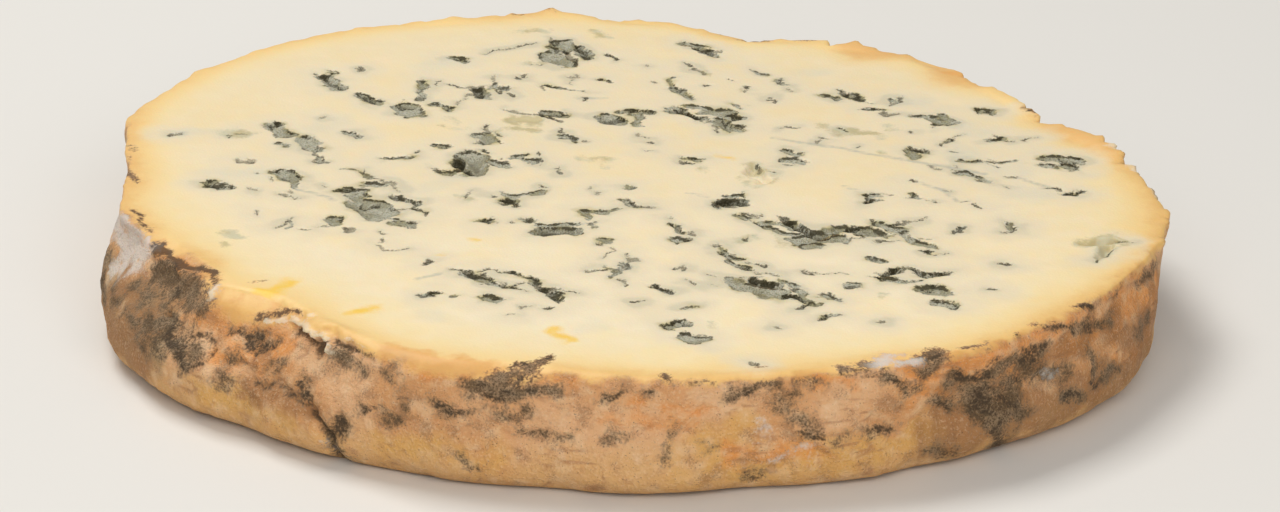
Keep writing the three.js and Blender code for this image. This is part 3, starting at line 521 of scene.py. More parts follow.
# %% Khaki stains and butter-yellow spots: width, then the points
OLIVE = [
    (0.8, -38.4, 40.8, -38.3, 39.8), (0.6, -35.6, 18.6, -35.2, 17.2), (2.2, -50.8, 17.8, -48.0, 17.2),
    (0.7, -16.2, 18.6, -15.6, 16.0), (0.8, -22.4, 23.4, -21.2, 22.0),
    (0.5, -23.2, 20.8, -22.0, 19.6, -20.0, 19.4), (0.8, -12.2, 45.2, -11.0, 45.4),
    (0.6, 10.8, 42.0, 12.0, 41.0), (0.4, 16.0, 35.4, 16.0, 34.0), (3.0, -13.8, 22.6, -11.0, 22.6),
    (1.6, -13.8, 19.4, -10.8, 18.8), (1.0, -5.0, 7.4, -1.0, 6.8), (0.5, -1.8, 5.2, -1.4, 3.6),
    (1.2, 16.6, 4.4, 17.8, 2.0), (1.0, 9.8, 3.8, 10.6, 2.0),
    (0.5, 15.2, -0.8, 15.8, -3.2, 17.4, -3.8, 19.2, -1.8, 19.8, 0.6), (2.2, 28.4, 17.6, 33.0, 16.0),
    (0.6, 26.0, 20.4, 26.4, 19.2), (0.8, 33.2, 10.0, 33.6, 9.2), (1.4, -3.4, 58.6, -1.8, 56.8),
    (1.6, -13.6, 58.6, -10.6, 59.0), (0.5, 34.8, 19.8, 35.0, 18.4), (0.8, 57.4, -27.6, 58.4, -26.2),
    (0.9, 58.4, -25.6, 59.6, -25.0), (2.6, 56.4, -22.6, 59.4, -20.4), (2.0, 58.2, -24.6, 60.4, -21.6),
    (1.8, -47.4, -18.8, -46.4, -20.2), (0.6, -48.2, -22.0, -47.8, -23.2), (1.4, -19.4, -6.0, -18.8, -7.0),
    (2.4, 31.2, -16.6, 34.0, -18.2), (0.3, 19.0, -20.2, 19.6, -24.2), (0.6, 30.4, -39.2, 31.0, -39.6),
    (0.6, 11.0, -48.4, 11.0, -49.2), (1.2, 14.4, -22.8, 15.6, -21.6),
]
BUTTER = [
    (2.2, -42.6, -38.7, -41.4, -39.3, -40.3, -39.2), (1.6, -40.0, -38.6, -39.2, -37.0, -38.6, -35.6),
    (1.6, -31.0, -46.0, -28.4, -44.2), (1.6, -7.4, -51.0, -5.8, -54.0), (0.9, 12.6, 7.6, 14.0, 6.8),
    (0.4, -17.8, -21.8, -17.6, -21.9), (0.4, -21.3, -26.6, -21.1, -26.7),
]
print(len(OLIVE), "stains and", len(BUTTER), "butter-yellow spots")

# %% [markdown]
# ## Modelling the slice
# A disc of paste and a wall of rind are one closed skin. By hand, this starts as a circle: the circle is
# the edge of the cut face, it is extruded down the wall in rows, round the foot and in under the base,
# and the cut face itself is a grid filled into the same circle. Grid fill gives even squares right across
# the face, with no pole in the middle, so hollows can be pushed in anywhere.

# %% Profile of the wall, from the cut face down to the base
SECTORS = 720
WALL_ROWS = 30
FOOT_ROWS = 7
BASE_SHARES = (0.85, 0.6, 0.3)

wall_start = THICKNESS - RIM_BEVEL
profile = [(MEAN_RADIUS - RIM_BEVEL, THICKNESS), (MEAN_RADIUS, wall_start)]
for row in range(1, WALL_ROWS + 1):
    profile.append((MEAN_RADIUS, wall_start + (FOOT_RADIUS - wall_start) * row / WALL_ROWS))
for row in range(1, FOOT_ROWS + 1):
    tilt = math.radians(90.0 * row / FOOT_ROWS)
    foot_inset = FOOT_RADIUS * (1.0 - math.cos(tilt))
    profile.append((MEAN_RADIUS - foot_inset, FOOT_RADIUS * (1.0 - math.sin(tilt))))
for share in BASE_SHARES:
    profile.append((MEAN_RADIUS * share, 0.0))
print("rows in the profile:", len(profile))

# %% Circle, extruded row by row
bpy.ops.object.select_all(action="DESELECT")
bpy.ops.mesh.primitive_circle_add(vertices=SECTORS, radius=profile[0][0] * MM, fill_type="NOTHING")
cheese_slice = bpy.context.object
cheese_slice.name = "cheese_slice"
bpy.ops.object.mode_set(mode="EDIT")
bpy.ops.mesh.select_mode(type="VERT")
bpy.ops.mesh.select_all(action="SELECT")
bpy.ops.transform.translate(value=(0.0, 0.0, THICKNESS * MM))
for (radius, height), (next_radius, next_height) in zip(profile, profile[1:]):
    drop = (0.0, 0.0, (next_height - height) * MM)
    bpy.ops.mesh.extrude_region_move(TRANSFORM_OT_translate={"value": drop})
    grow = next_radius / radius
    bpy.ops.transform.resize(value=(grow, grow, 1.0), center_override=(0.0, 0.0, next_height * MM))
bpy.ops.mesh.extrude_region_move(TRANSFORM_OT_translate={"value": (0.0, 0.0, 0.0)})
bpy.ops.mesh.merge(type="CENTER")
bpy.ops.object.mode_set(mode="OBJECT")
print("wall and base:", len(cheese_slice.data.polygons), "faces")

# %% Reading and writing points, in millimetres
def points_of(mesh):
    flat = np.empty(3 * len(mesh.vertices))
    mesh.vertices.foreach_get("co", flat)
    return flat.reshape(-1, 3) / MM


def put_points(mesh, points):
    mesh.vertices.foreach_set("co", (points * MM).ravel())
    mesh.update()


def select_points(mesh, chosen):
    mesh.polygons.foreach_set("select", np.zeros(len(mesh.polygons), dtype=bool))
    mesh.edges.foreach_set("select", np.zeros(len(mesh.edges), dtype=bool))
    mesh.vertices.foreach_set("select", chosen)

# %% Grid fill for the cut face
EDGE_TOLERANCE = 0.01
points = points_of(cheese_slice.data)
radius = np.hypot(points[:, 0], points[:, 1])
on_edge = (points[:, 2] > THICKNESS - EDGE_TOLERANCE) & (radius < profile[0][0] + EDGE_TOLERANCE)
select_points(cheese_slice.data, on_edge)
bpy.ops.object.mode_set(mode="EDIT")
bpy.ops.mesh.fill_grid(span=SECTORS // 4)
bpy.ops.mesh.select_all(action="SELECT")
bpy.ops.mesh.normals_make_consistent(inside=False)
bpy.ops.object.mode_set(mode="OBJECT")
print("with the cut face:", len(cheese_slice.data.polygons), "faces")

# %% Push the round slice into its oval, leaning form
RIM_ZONE = (0.955, 0.985)
FOOT_ZONE = (0.0, 0.6)
points = points_of(cheese_slice.data)
radius = np.hypot(points[:, 0], points[:, 1])
angle = np.degrees(np.arctan2(points[:, 1], points[:, 0]))
height = points[:, 2]
outward = radius / MEAN_RADIUS
at_rim = smooth_step(outward, *RIM_ZONE) * smooth_step(height, *FOOT_ZONE)
pushed = radius + outward * (rim_radius(angle) - MEAN_RADIUS + wall_lean(angle, height))
pushed += at_rim * rind_lumps(angle, height)
x = pushed * np.cos(np.radians(angle))
y = pushed * np.sin(np.radians(angle))
upper_half = smooth_step(height, THICKNESS / 2.0, THICKNESS)
lift = (knife_wave(x, y) + at_rim * swells_at(RIM_LIPS, angle)) * upper_half
put_points(cheese_slice.data, np.column_stack([x, y, height + lift]))
print("the oval slice measures, in mm:", np.ptp(x).round(1), "by", np.ptp(y).round(1))

# %% Brush lines: how far inside the nearest one a point lies
NOWHERE = -9.0
BRUSH_REACH = 6.0


def inside_line(points, width, stops):
    away = np.hypot(*(points - stops[0]).T)
    for start, end in zip(stops, stops[1:]):
        run = end - start
        share = np.clip(((points - start) @ run) / (run @ run), 0.0, 1.0)
        away = np.minimum(away, np.hypot(*(points - start - share[:, None] * run).T))
    return width / 2.0 - away


def inside_any(points, brushes):
    deepest = np.full(len(points), NOWHERE)
    for width, *path in brushes:
        stops = np.reshape(path, (-1, 2))
        above_low = points > stops.min(axis=0) - BRUSH_REACH
        below_high = points < stops.max(axis=0) + BRUSH_REACH
        near = np.all(above_low & below_high, axis=1)
        deepest[near] = np.maximum(deepest[near], inside_line(points[near], width, stops))
    return deepest


hollow_lines = [hollow[1:] for hollow in HOLLOWS]
pale_lines = [hollow[1:] for hollow in PALE_HOLLOWS]

# %% Finer squares round the veins, and finer again in the deeper hollows
FINE_MARGIN = 0.5
FACE_MARGIN = 1.0
DEEP = 0.6


def split_squares_near(lines):
    centres = np.empty(3 * len(cheese_slice.data.polygons))
    cheese_slice.data.polygons.foreach_get("center", centres)
    centres = centres.reshape(-1, 3) / MM
    near = inside_any(centres[:, :2], lines) > -FINE_MARGIN
    near &= centres[:, 2] > THICKNESS - FACE_MARGIN
    select_points(cheese_slice.data, np.zeros(len(cheese_slice.data.vertices), dtype=bool))
    cheese_slice.data.polygons.foreach_set("select", near)
    bpy.context.tool_settings.mesh_select_mode = (False, False, True)
    bpy.ops.object.mode_set(mode="EDIT")
    bpy.ops.mesh.subdivide(number_cuts=1)
    bpy.ops.object.mode_set(mode="OBJECT")


split_squares_near(hollow_lines + pale_lines + FUR + INK)
split_squares_near([hollow[1:] for hollow in HOLLOWS + PALE_HOLLOWS if hollow[0] > DEEP])
cheese_slice.data.calc_loop_triangles()
print("with finer squares at the veins:", len(cheese_slice.data.loop_triangles), "triangles")

# %% [markdown]
# ## Veins with ragged edges
# A brush line has a clean edge, and a mould gap doesn't. Each point of the cut face is therefore looked
# up a little to one side of where it is, by a soft noise, before its distance to the lines is taken. That
# bends straight lines and frays round ends. The same measure is used twice: it sinks the hollows into the
# mesh now, and it is stored on the points, so that the paint knows later where each vein begins.

# %% Soft noise at many points, by a seed and the size of its lumps in millimetres
SEED_STEP = (17.3, -9.1, 5.7)


def cloud(points, size, seed):
    shift = Vector([step * seed for step in SEED_STEP])
    return np.array([noise.noise(Vector(point) / size + shift) for point in points])


# Several noises added up, each by its reach, size and seed
def clouds(points, layers):
    return sum(reach * cloud(points, size, seed) for reach, size, seed in layers)


def drift(points, size, reach, seed):
    return reach * np.column_stack([cloud(points, size, seed), cloud(points, size, seed + 1)])


# %% Places to measure: every point of the cut face, looked up a little to one side
LEAST_UPWARD = 0.8
points = points_of(cheese_slice.data)
angle = np.degrees(np.arctan2(points[:, 1], points[:, 0]))
radius = np.hypot(points[:, 0], points[:, 1])
height = points[:, 2].copy()
inward = rim_radius(angle) - radius
facing = np.empty(3 * len(points))
cheese_slice.data.vertices.foreach_get("normal", facing)
on_face = (facing[2::3] > LEAST_UPWARD) & (height > THICKNESS / 2.0)
face = points[on_face]
bent = face[:, :2] + drift(face, size=2.4, reach=1.1, seed=1)
torn = bent + drift(face, size=0.9, reach=0.38, seed=3)
print("points on the cut face:", len(face))

# %% Measure the veins, the mist round them and the stains
fields = {}


def store_field(name, where, values):
    fields[name] = np.full(len(points), NOWHERE)
    fields[name][where] = values


fur_inside = inside_any(torn, hollow_lines + FUR)
ink_inside = inside_any(torn, INK)
store_field("fur", on_face, fur_inside)
store_field("ink", on_face, ink_inside)
store_field("haze", on_face, np.maximum(fur_inside, ink_inside) + 1.4 * cloud(face, 4.0, 14))
store_field("mist", on_face, inside_any(torn, MIST) + 1.6 * cloud(face, 3.0, 15))
store_field("needle", on_face, inside_any(face[:, :2] + drift(face, 3.0, 0.3, 16), NEEDLE))
store_field("olive", on_face, inside_any(torn, OLIVE) + 0.7 * cloud(face, 0.9, 18))
store_field("butter", on_face, inside_any(torn, BUTTER) + 0.5 * cloud(face, 1.5, 19))
print("points in the veins:", (np.maximum(fur_inside, ink_inside) > 0.0).sum())

# %% Sink the hollows, and less deeply the fur and the dark lines
HOLLOW_WALL = 1.7
HOLLOW_WALL_SHARE = 0.55
SINK_START = -0.1
FUR_DEPTH = 0.2
FUR_FULL = 0.5
INK_DEPTH = 0.25
INK_FULL = 0.3
FUZZ = 0.07
FUZZ_FULL = 0.6
SWIRLS = [(0.10, 9.0, 12), (0.05, 3.0, 13)]
RIM_FADE = (0.4, 1.6)
sunk = FUR_DEPTH * smooth_step(fur_inside, SINK_START, FUR_FULL)
for depth, width, *path in HOLLOWS + PALE_HOLLOWS:
    inside = inside_line(bent, width, np.reshape(path, (-1, 2)))
    slope_end = min(HOLLOW_WALL, HOLLOW_WALL_SHARE * width)
    sunk = np.maximum(sunk, depth * smooth_step(inside, SINK_START, slope_end))
sunk += INK_DEPTH * smooth_step(ink_inside, SINK_START, INK_FULL)
fuzz = FUZZ * smooth_step(fur_inside, 0.0, FUZZ_FULL) * cloud(face, 0.8, 9)
points[on_face, 2] += (fuzz + clouds(face, SWIRLS) - sunk) * smooth_step(inward[on_face], *RIM_FADE)
store_field("depth", on_face, sunk)
print("deepest hollow, mm:", sunk.max().round(2))

# %% The far edge of each vein overhangs a little: the paint puts dark mould there, with painted shade of the overhang; look one small step nearer
NEARER = np.array((0.0, -0.35))
in_bent = inside_any(bent, hollow_lines + FUR)
slope = (inside_any(bent + NEARER, hollow_lines + FUR) - in_bent) / -NEARER[1]
at_edge = smooth_step(in_bent, -0.3, 0.0) * smooth_step(in_bent, 0.7, 0.2)
far_wall_mould_and_shade = smooth_step(slope, 0.2, 0.8) * at_edge
store_field("far_edge", on_face, far_wall_mould_and_shade)
print("points on far edges:", (far_wall_mould_and_shade > 0.5).sum())

# %% [markdown]
# ## The rind
# The rind is a thin skin that dried, wrinkled and grew its own moulds: soft grey and white patches, brown
# lines, a fold that runs round above the foot, and a seam where it was once gathered. These are brush
# lines too, given by direction in degrees and level in millimetres. A level above the wall's top counts
# on inward over the face. What the front shows is placed one by one. The back is strewn with the same kinds
# of marks by a seeded draw.

# %% Grey mould: width, then direction and level in turn
WALL_GREY = [
    (2.2, 187, 9.6, 192, 8.6), (1.8, 190, 6.0, 197, 6.6), (1.6, 198, 8.4, 203, 8.0),
    (1.2, 186, 13.6, 189, 13.0), (3.2, 204.5, 12.4, 208, 12.8, 214.5, 13.0),
    (2.4, 206, 11.8, 211, 12.0, 216, 12.2), (1.5, 216.6, 13.6, 217.8, 11.4),
    (2.8, 212.6, 9.2, 216, 8.4, 219.4, 7.4), (1.6, 206, 8.4, 211, 8.0, 215, 6.8),
    (1.0, 209.5, 7.0, 213, 6.4), (0.9, 222.6, 11.2, 225, 11.4, 229, 11.8), (0.8, 224.5, 9.2, 226, 9.0),
    (0.9, 230, 9.7, 231, 9.5), (0.9, 224, 6.8, 225.4, 6.6), (1.2, 201.4, 9.8, 206, 10.2, 210, 10.6),
    (1.4, 238, 12.8, 242.6, 12.5), (1.2, 246, 13.6, 246.8, 12.0), (0.9, 247.4, 10.7, 248.2, 10.0),
    (1.0, 251.8, 10.9, 252.6, 10.0, 255, 9.7), (2.8, 255.6, 12.8, 259, 13.0, 261.2, 13.4),
    (2.4, 257.4, 14.4, 260.6, 16.0), (2.2, 259.4, 16.2, 261.2, 17.6), (1.4, 260.8, 17.8, 261.8, 19.0),
    (1.3, 262.2, 13.2, 264.4, 13.2), (1.0, 257.6, 10.2, 260.6, 10.6),
    (0.9, 260.6, 8.8, 261.8, 7.6, 264.6, 8.3), (0.7, 268.4, 13.2, 270.6, 13.1),
    (0.6, 272.3, 13.3, 273.2, 13.3), (0.6, 269.4, 8.0, 270.8, 7.9), (1.2, 235.6, 9.4, 236.8, 8.4),
    (2.0, 239.2, 4.8, 240.4, 2.6, 239.6, 0.6), (1.4, 240.0, 4.2, 241.4, 5.6),
    (0.7, 243, 8.0, 244.6, 8.3, 247.4, 7.7), (1.0, 254.8, 4.8, 255.8, 3.2),
    (0.35, 274.8, 17.0, 275.2, 15.6), (0.7, 275.4, 8.8, 274.0, 6.0), (1.6, 281.4, 13.2, 285.4, 13.0),
    (0.8, 285.4, 11.4, 287.4, 11.1), (1.0, 287.4, 13.4, 290.2, 13.4), (0.7, 278.5, 6.5, 279.5, 6.4),
    (1.8, 287.2, 9.2, 288.8, 8.6, 288.4, 6.6), (0.9, 282.8, 3.2, 284.2, 2.6), (0.5, 294.0, 7.0, 297.4, 7.3),
    (1.4, 296, 13.2, 297.4, 12.0, 298, 11.0), (0.6, 290.2, 6.5, 292, 6.5), (0.7, 299.2, 11.6, 300.2, 11.4),
    (2.0, 300.4, 13.6, 302.8, 14.4), (2.4, 300.6, 15.6, 303.0, 15.4), (1.6, 292.8, 15.4, 295.4, 16.0),
    (2.0, 303.4, 11.0, 306.4, 11.2, 310.6, 11.8), (1.4, 302, 8.9, 304.4, 8.0),
    (4.4, 306.6, 8.8, 308.6, 5.8), (1.6, 314.4, 9.6, 317.6, 8.4), (2.6, 310, 8.0, 311.4, 5.6),
    (2.4, 308, 3.6, 310.6, 1.8), (1.5, 302, 3.6, 304, 2.6), (1.4, 311.4, 11.4, 315, 11.8),
    (1.4, 312.4, 10.0, 313.2, 8.8), (0.9, 306.2, 16.0, 307.6, 15.4), (0.9, 311, 16.2, 311.7, 15.0),
    (0.9, 314.8, 16.2, 315.8, 14.8), (1.3, 316.6, 14.8, 318.4, 13.6, 319.8, 12.6),
    (1.0, 321.2, 15.6, 322.6, 14.2), (1.1, 320.6, 12.2, 325.4, 12.0), (1.4, 320.9, 9.6, 321.4, 6.0),
    (1.8, 317.4, 5.8, 319.6, 4.2), (1.6, 322.8, 6.4, 324.8, 5.8), (0.7, 326.8, 14.2, 329.2, 13.8),
    (1.0, 334, 13.0, 340, 12.4), (0.8, 330, 8.2, 333, 7.0), (1.8, 300.6, 16.4, 303.2, 16.6),
    (1.4, 310.8, 6.4, 312.2, 9.6), (1.6, 309.4, 10.2, 312.6, 10.6), (1.2, 331, 7.4, 335, 8.4),
]
print(len(WALL_GREY), "grey patches")

# %% Brown-black lines and specks, and painted shadow under the torn flakes: width, then direction and level in turn
WALL_DARK = [
    (0.9, 190.4, 16.2, 193, 16.5, 196, 16.0), (0.6, 196.4, 16.6, 197.4, 16.0),
    (1.7, 201.6, 14.5, 204, 14.8, 207.6, 15.0, 210, 15.3, 213.4, 16.5), (1.0, 207.4, 15.2, 209, 14.8),
    (1.2, 213.2, 16.8, 214.6, 16.8), (1.1, 214.6, 16.0, 216.2, 15.4), (0.5, 209.8, 12.2, 211.2, 11.6),
    (0.6, 213, 9.4, 216, 9.0), (0.7, 218, 9.4, 221.4, 9.6), (0.8, 221.8, 8.8, 221.4, 7.6, 220.4, 6.9),
    (0.5, 222.4, 11.2, 224.6, 11.2), (0.9, 224.8, 13.3, 227.4, 14.5, 230.1, 15.4),
    (0.8, 229.6, 15.4, 230.4, 15.3), (0.5, 220.6, 20.0, 221.0, 19.4), (0.4, 220.0, 18.7, 220.1, 18.5),
    # The two lines just under the torn flakes, from 232 to 244 degrees, are painted shadow of the gap
    # beneath the flakes, over a dark crevice
    (0.9, 232, 13.3, 234.6, 13.0, 237.2, 12.8), (0.8, 238.8, 14.2, 241, 14.4, 243.8, 14.6),
    (0.5, 228.4, 8.1, 233.4, 7.4, 236.8, 7.6), (0.8, 237.0, 6.4, 239.6, 3.6, 239.5, 1.0),
    (0.4, 243.2, 8.0, 245, 8.2), (0.5, 252, 10.7, 252.8, 10.0, 254.4, 9.8), (0.6, 256.4, 11.6, 258.4, 12.0),
    (0.6, 260.4, 14.4, 261.4, 13.2), (0.6, 261.4, 18.6, 262.2, 19.4), (0.5, 261.2, 8.1, 262.4, 7.7),
    (0.5, 255, 3.0, 255.3, 2.8), (0.4, 245.8, 3.8, 246, 3.6), (0.4, 268.6, 13.2, 270.2, 13.1),
    (0.4, 272.4, 13.3, 273.2, 13.3), (0.4, 277.4, 14.8, 279.4, 14.6), (0.5, 284, 18.6, 285, 18.3),
    (0.5, 281.4, 13.0, 283, 12.6), (0.5, 288.4, 6.8, 289.3, 6.4), (0.4, 283.4, 2.4, 284, 2.2),
    (0.4, 291.4, 14.4, 294, 14.0, 297.2, 14.6), (0.4, 292.8, 12.6, 292.9, 12.4),
    (0.5, 294.4, 7.3, 297, 7.6), (0.6, 304, 11.0, 306, 11.2), (0.7, 306.4, 12.4, 308.4, 12.8),
    (0.7, 307, 7.6, 308, 6.0), (0.6, 309, 2.6, 310.2, 1.6), (0.5, 311.4, 11.2, 313, 11.4),
    (0.5, 320.8, 8.0, 321.2, 6.6), (0.5, 321.2, 12.0, 322, 11.4), (0.5, 316.8, 14.6, 318, 13.8),
    (0.5, 302.4, 8.6, 303.4, 8.0), (0.9, 304, 11.6, 308, 11.0), (0.9, 306.4, 9.4, 308.4, 7.0),
    (0.7, 309.4, 7.6, 310.8, 5.8), (0.8, 308.2, 3.4, 310.2, 2.0), (0.6, 312.4, 12.0, 314.6, 12.2),
    (0.6, 317, 14.4, 319, 13.0), (0.6, 321.4, 15.2, 322.4, 14.2), (0.5, 315, 15.8, 315.6, 14.8),
    (0.7, 300.8, 15.4, 302.8, 15.2), (0.5, 296.4, 12.6, 297.6, 11.4),
    (0.7, 223, 11.0, 226, 11.2, 229, 11.6), (0.9, 214.4, 9.0, 217.6, 8.2, 219.2, 7.0),
    (0.9, 239.6, 4.0, 241.4, 5.6), (0.7, 239.8, 3.2, 240.8, 2.6), (0.7, 235.4, 9.2, 237, 8.2),
    (0.7, 258.4, 16.4, 260.6, 17.8), (0.6, 256, 13.0, 259.4, 13.2), (0.7, 287.8, 7.4, 289.0, 6.4),
    (0.8, 318, 5.4, 319.4, 4.4), (0.6, 320.6, 6.8, 322, 5.4), (0.7, 306.6, 9.6, 309.4, 9.2),
    (0.7, 307, 3.0, 308.6, 5.2), (0.5, 168.6, 15.3, 170.4, 15.8), (0.6, 69.5, 15.2, 73.8, 15.2),
    (0.6, 23.4, 15.3, 28.5, 15.3), (0.5, 102.4, 15.4, 103.2, 15.5), (0.5, 98.0, 15.5, 98.8, 15.6),
    (0.5, 172, 15.4, 173, 15.2), (0.4, 176, 15.4, 177, 15.7), (0.6, 310.4, 9.8, 311.2, 8.6),
    (0.6, 303.4, 3.2, 304.2, 2.4), (0.5, 311.2, 15.8, 311.8, 15.0),
]
print(len(WALL_DARK), "dark lines")

# %% White bloom and orange flush: width, then direction and level in turn
WALL_WHITE = [
    (3.4, 194.4, 11.6, 198.4, 12.2), (2.0, 193.6, 9.2, 197.0, 9.8), (2.2, 192, 13.6, 197, 14.2),
    (2.4, 186.8, 13.4, 192, 12.6), (2.6, 189, 12.4, 201, 12.8), (1.6, 198, 14.6, 201.6, 13.6),
    (1.8, 295.8, 15.6, 297.6, 16.2, 299.4, 15.6), (0.6, 287, 4.9, 288.6, 4.8),
    (0.5, 285.2, 4.4, 286.4, 4.2), (1.2, 296.4, 17.0, 298.8, 17.4), (0.5, 283.6, 8.8, 284.6, 8.2),
    (0.3, 315.2, 9.2, 316.6, 8.6), (0.6, 239, 2.2, 239.8, 1.8), (0.8, 216.8, 14.8, 217.6, 14.0),
]
WALL_ORANGE = [
    (2.4, 221, 12.8, 229, 12.4), (2.6, 305, 11.6, 317, 10.8, 330, 12.2), (2.0, 281, 5.6, 289, 5.0),
    (3.0, 218.6, 12.2, 224, 12.0, 231, 11.4), (1.4, 226, 14.4, 230, 13.8), (1.0, 201, 14.6, 205, 14.4),
    (1.8, 206, 15.4, 214, 15.2), (3.0, 246, 16.2, 250, 15.4, 253.6, 15.0), (2.2, 247, 16.4, 257, 16.0),
    (1.2, 262.6, 14.6, 266, 14.2), (1.4, 270, 10.0, 276, 9.4), (1.6, 288, 14.2, 293, 13.4),
    (2.2, 298, 12.6, 303, 12.4), (2.8, 303, 14.0, 311, 14.0, 320, 14.4), (1.6, 299.6, 10.4, 303, 9.6),
    (1.2, 326, 14.4, 334, 14.4), (1.6, 222, 8.8, 229, 9.8), (3.0, 324, 11.0, 338, 10.6),
    (2.4, 326, 6.8, 336, 6.4), (0.9, 271, 11.6, 280, 11.2),
]
print(len(WALL_WHITE), "white and", len(WALL_ORANGE), "orange places")

# %% Brown shade, partly painted shadow low on the left wall, straw-yellow stretches and an olive veil: width, then direction and level in turn
WALL_SHADE = [
    # Low on the left wall, below level 7 from 187 to 212 degrees, the brown is partly dark mould and partly
    # painted shadow at the foot
    (3.0, 194, 4.0, 208, 4.6), (2.6, 228, 6.4, 238, 6.6), (5.0, 187, 5.0, 205, 5.6),
    (4.0, 196, 4.2, 211, 4.4), (0.3, 219, 11.8, 229, 11.6), (4.0, 199, 9.0, 212, 9.2),
    (5.0, 328, 8.0, 344, 8.0), (6.0, 303, 5.0, 336, 5.0), (3.0, 304, 10.2, 327, 10.6),
    (3.4, 198, 6.4, 212, 6.8), (1.6, 228, 8.0, 237, 7.6),
]
WALL_STRAW = [
    (3.4, 222, 4.4, 234, 4.0), (3.6, 276, 7.0, 283, 7.2), (4.4, 289, 4.4, 301, 4.8),
    (3.4, 276, 3.6, 288, 3.4), (3.0, 246, 4.4, 258, 4.6),
]
WALL_VEIL = [(4.4, 187, 6.8, 214, 7.4), (2.0, 203, 9.6, 212, 9.6)]
print(len(WALL_SHADE), "shaded,", len(WALL_STRAW), "straw-yellow and", len(WALL_VEIL), "olive stretches")

# %% Folds and cracks: depth, width, then direction and level in turn
FOLDS = [
    (0.9, 0.7, 231.4, 13.4, 234.4, 13.2, 237.0, 12.9), (0.5, 0.5, 239.0, 14.3, 243.6, 14.3),
    (0.7, 0.9, 216, 9.4, 228, 8.1, 236.8, 7.4), (1.2, 1.1, 237, 6.4, 239.6, 3.6, 239.6, 0.4),
    (0.5, 0.9, 239.8, 3.8, 241.4, 5.8), (0.5, 0.8, 243, 7.8, 252, 8.2, 262, 7.6),
    (0.4, 0.9, 262, 8.2, 279, 8.9), (0.5, 0.8, 284, 8.0, 288, 6.4, 291, 2.6),
    (0.5, 1.2, 300, 7.0, 318, 9.0), (0.25, 0.5, 266, 10.6, 280, 11.2), (0.25, 0.5, 268, 9.4, 276, 9.8),
    (0.4, 0.6, 286, 3.4, 291, 4.8), (0.3, 0.6, 222, 12.0, 229, 11.4), (0.3, 0.6, 252, 10.2, 256, 9.4),
    (0.4, 0.6, 293.6, 7.7, 297.6, 8.1), (0.4, 0.7, 275.3, 8.7, 273.8, 5.8), (0.7, 1.2, 20, 7.5, 55, 8.6),
    (1.0, 1.3, 74, 13.5, 78, 2.0), (0.7, 1.2, 100, 8.0, 140, 7.2),
]
print(len(FOLDS), "folds and cracks")

# %% Strew the back of the rind by a seeded draw: how many marks, the longest and the widest of each kind
BACK_START = 344.0
BACK_SPAN = 200.0
STREWN_LEVELS = (1.5, 15.0)
SHORTEST = 0.3
STEEPEST = 0.5
THINNEST = 0.3
STREW_SEED = 31
strew = random.Random(STREW_SEED)


def strewn_marks(count, longest, widest):
    marks = []
    for _ in range(count):
        direction = BACK_START + BACK_SPAN * strew.random()
        start_level = strew.uniform(*STREWN_LEVELS)
        length = strew.uniform(SHORTEST, longest)
        climb = strew.uniform(-STEEPEST, STEEPEST) * length
        width = widest * (THINNEST + (1.0 - THINNEST) * strew.random() ** 2)
        marks.append((width, direction, start_level, direction + length, start_level + climb))
    return marks


WALL_GREY += strewn_marks(46, 5.0, 3.4)
WALL_WHITE += strewn_marks(9, 4.0, 2.6)
WALL_DARK += strewn_marks(30, 3.0, 0.9)
WALL_ORANGE += strewn_marks(10, 12.0, 3.0)
WALL_SHADE += strewn_marks(8, 14.0, 5.0)
WALL_STRAW += strewn_marks(6, 12.0, 4.0)
WALL_VEIL += strewn_marks(5, 14.0, 4.0)
print("marks on the rind:", len(WALL_GREY), "grey,", len(WALL_WHITE), "white,", len(WALL_DARK), "dark")

# %% Measure every point of the wall and of the rim against its lines
MM_PER_DEGREE = math.radians(1.0) * MEAN_RADIUS
RIM_REACH = 6.0
on_wall = inward < RIM_REACH
wall = points[on_wall]
wall_angle = angle[on_wall]
wall_height = height[on_wall]
cut_side = on_face[on_wall]
wall_inward = np.where(cut_side, np.maximum(inward[on_wall], 0.0), 0.0)
wander = drift(wall, size=3.0, reach=1.3, seed=21) + drift(wall, size=1.0, reach=0.5, seed=23)
level = wall_height + wall_inward + wander[:, 1]


def inside_mark(width, *path):
    stops = np.reshape(path, (-1, 2)) - (path[0], 0.0)
    along = turn_between(path[0], wall_angle) * MM_PER_DEGREE + wander[:, 0]
    return inside_line(np.column_stack([along, level]), width, stops * (MM_PER_DEGREE, 1.0))


def store_marks(name, marks, fray, size, seed):
    inside = np.max([inside_mark(*mark) for mark in marks], axis=0)
    store_field(name, on_wall, inside + fray * cloud(wall, size, seed))


store_marks("grey", WALL_GREY, 0.8, 1.5, 51)
store_marks("dark", WALL_DARK, 0.3, 0.8, 52)
store_marks("white", WALL_WHITE, 0.9, 1.4, 53)
store_marks("orange", WALL_ORANGE, 1.2, 2.0, 54)
store_marks("shade", WALL_SHADE, 1.8, 2.6, 55)
store_marks("straw", WALL_STRAW, 1.8, 3.0, 56)
store_marks("veil", WALL_VEIL, 1.6, 2.2, 57)
print("points on the rim and the wall:", len(wall))

# %% [markdown]
# ## Relief of the rind and the rim
# The knife left the rim rounded and smeared along the front, chipped and ragged along the right and the
# back, and torn into small flakes at the front left and at the right. Below it the dry wall is wrinkled
# and folded. All of this is relief pushed in or out of the wall's own points: along the radius for the
# wall, and also up or down close to the rim.

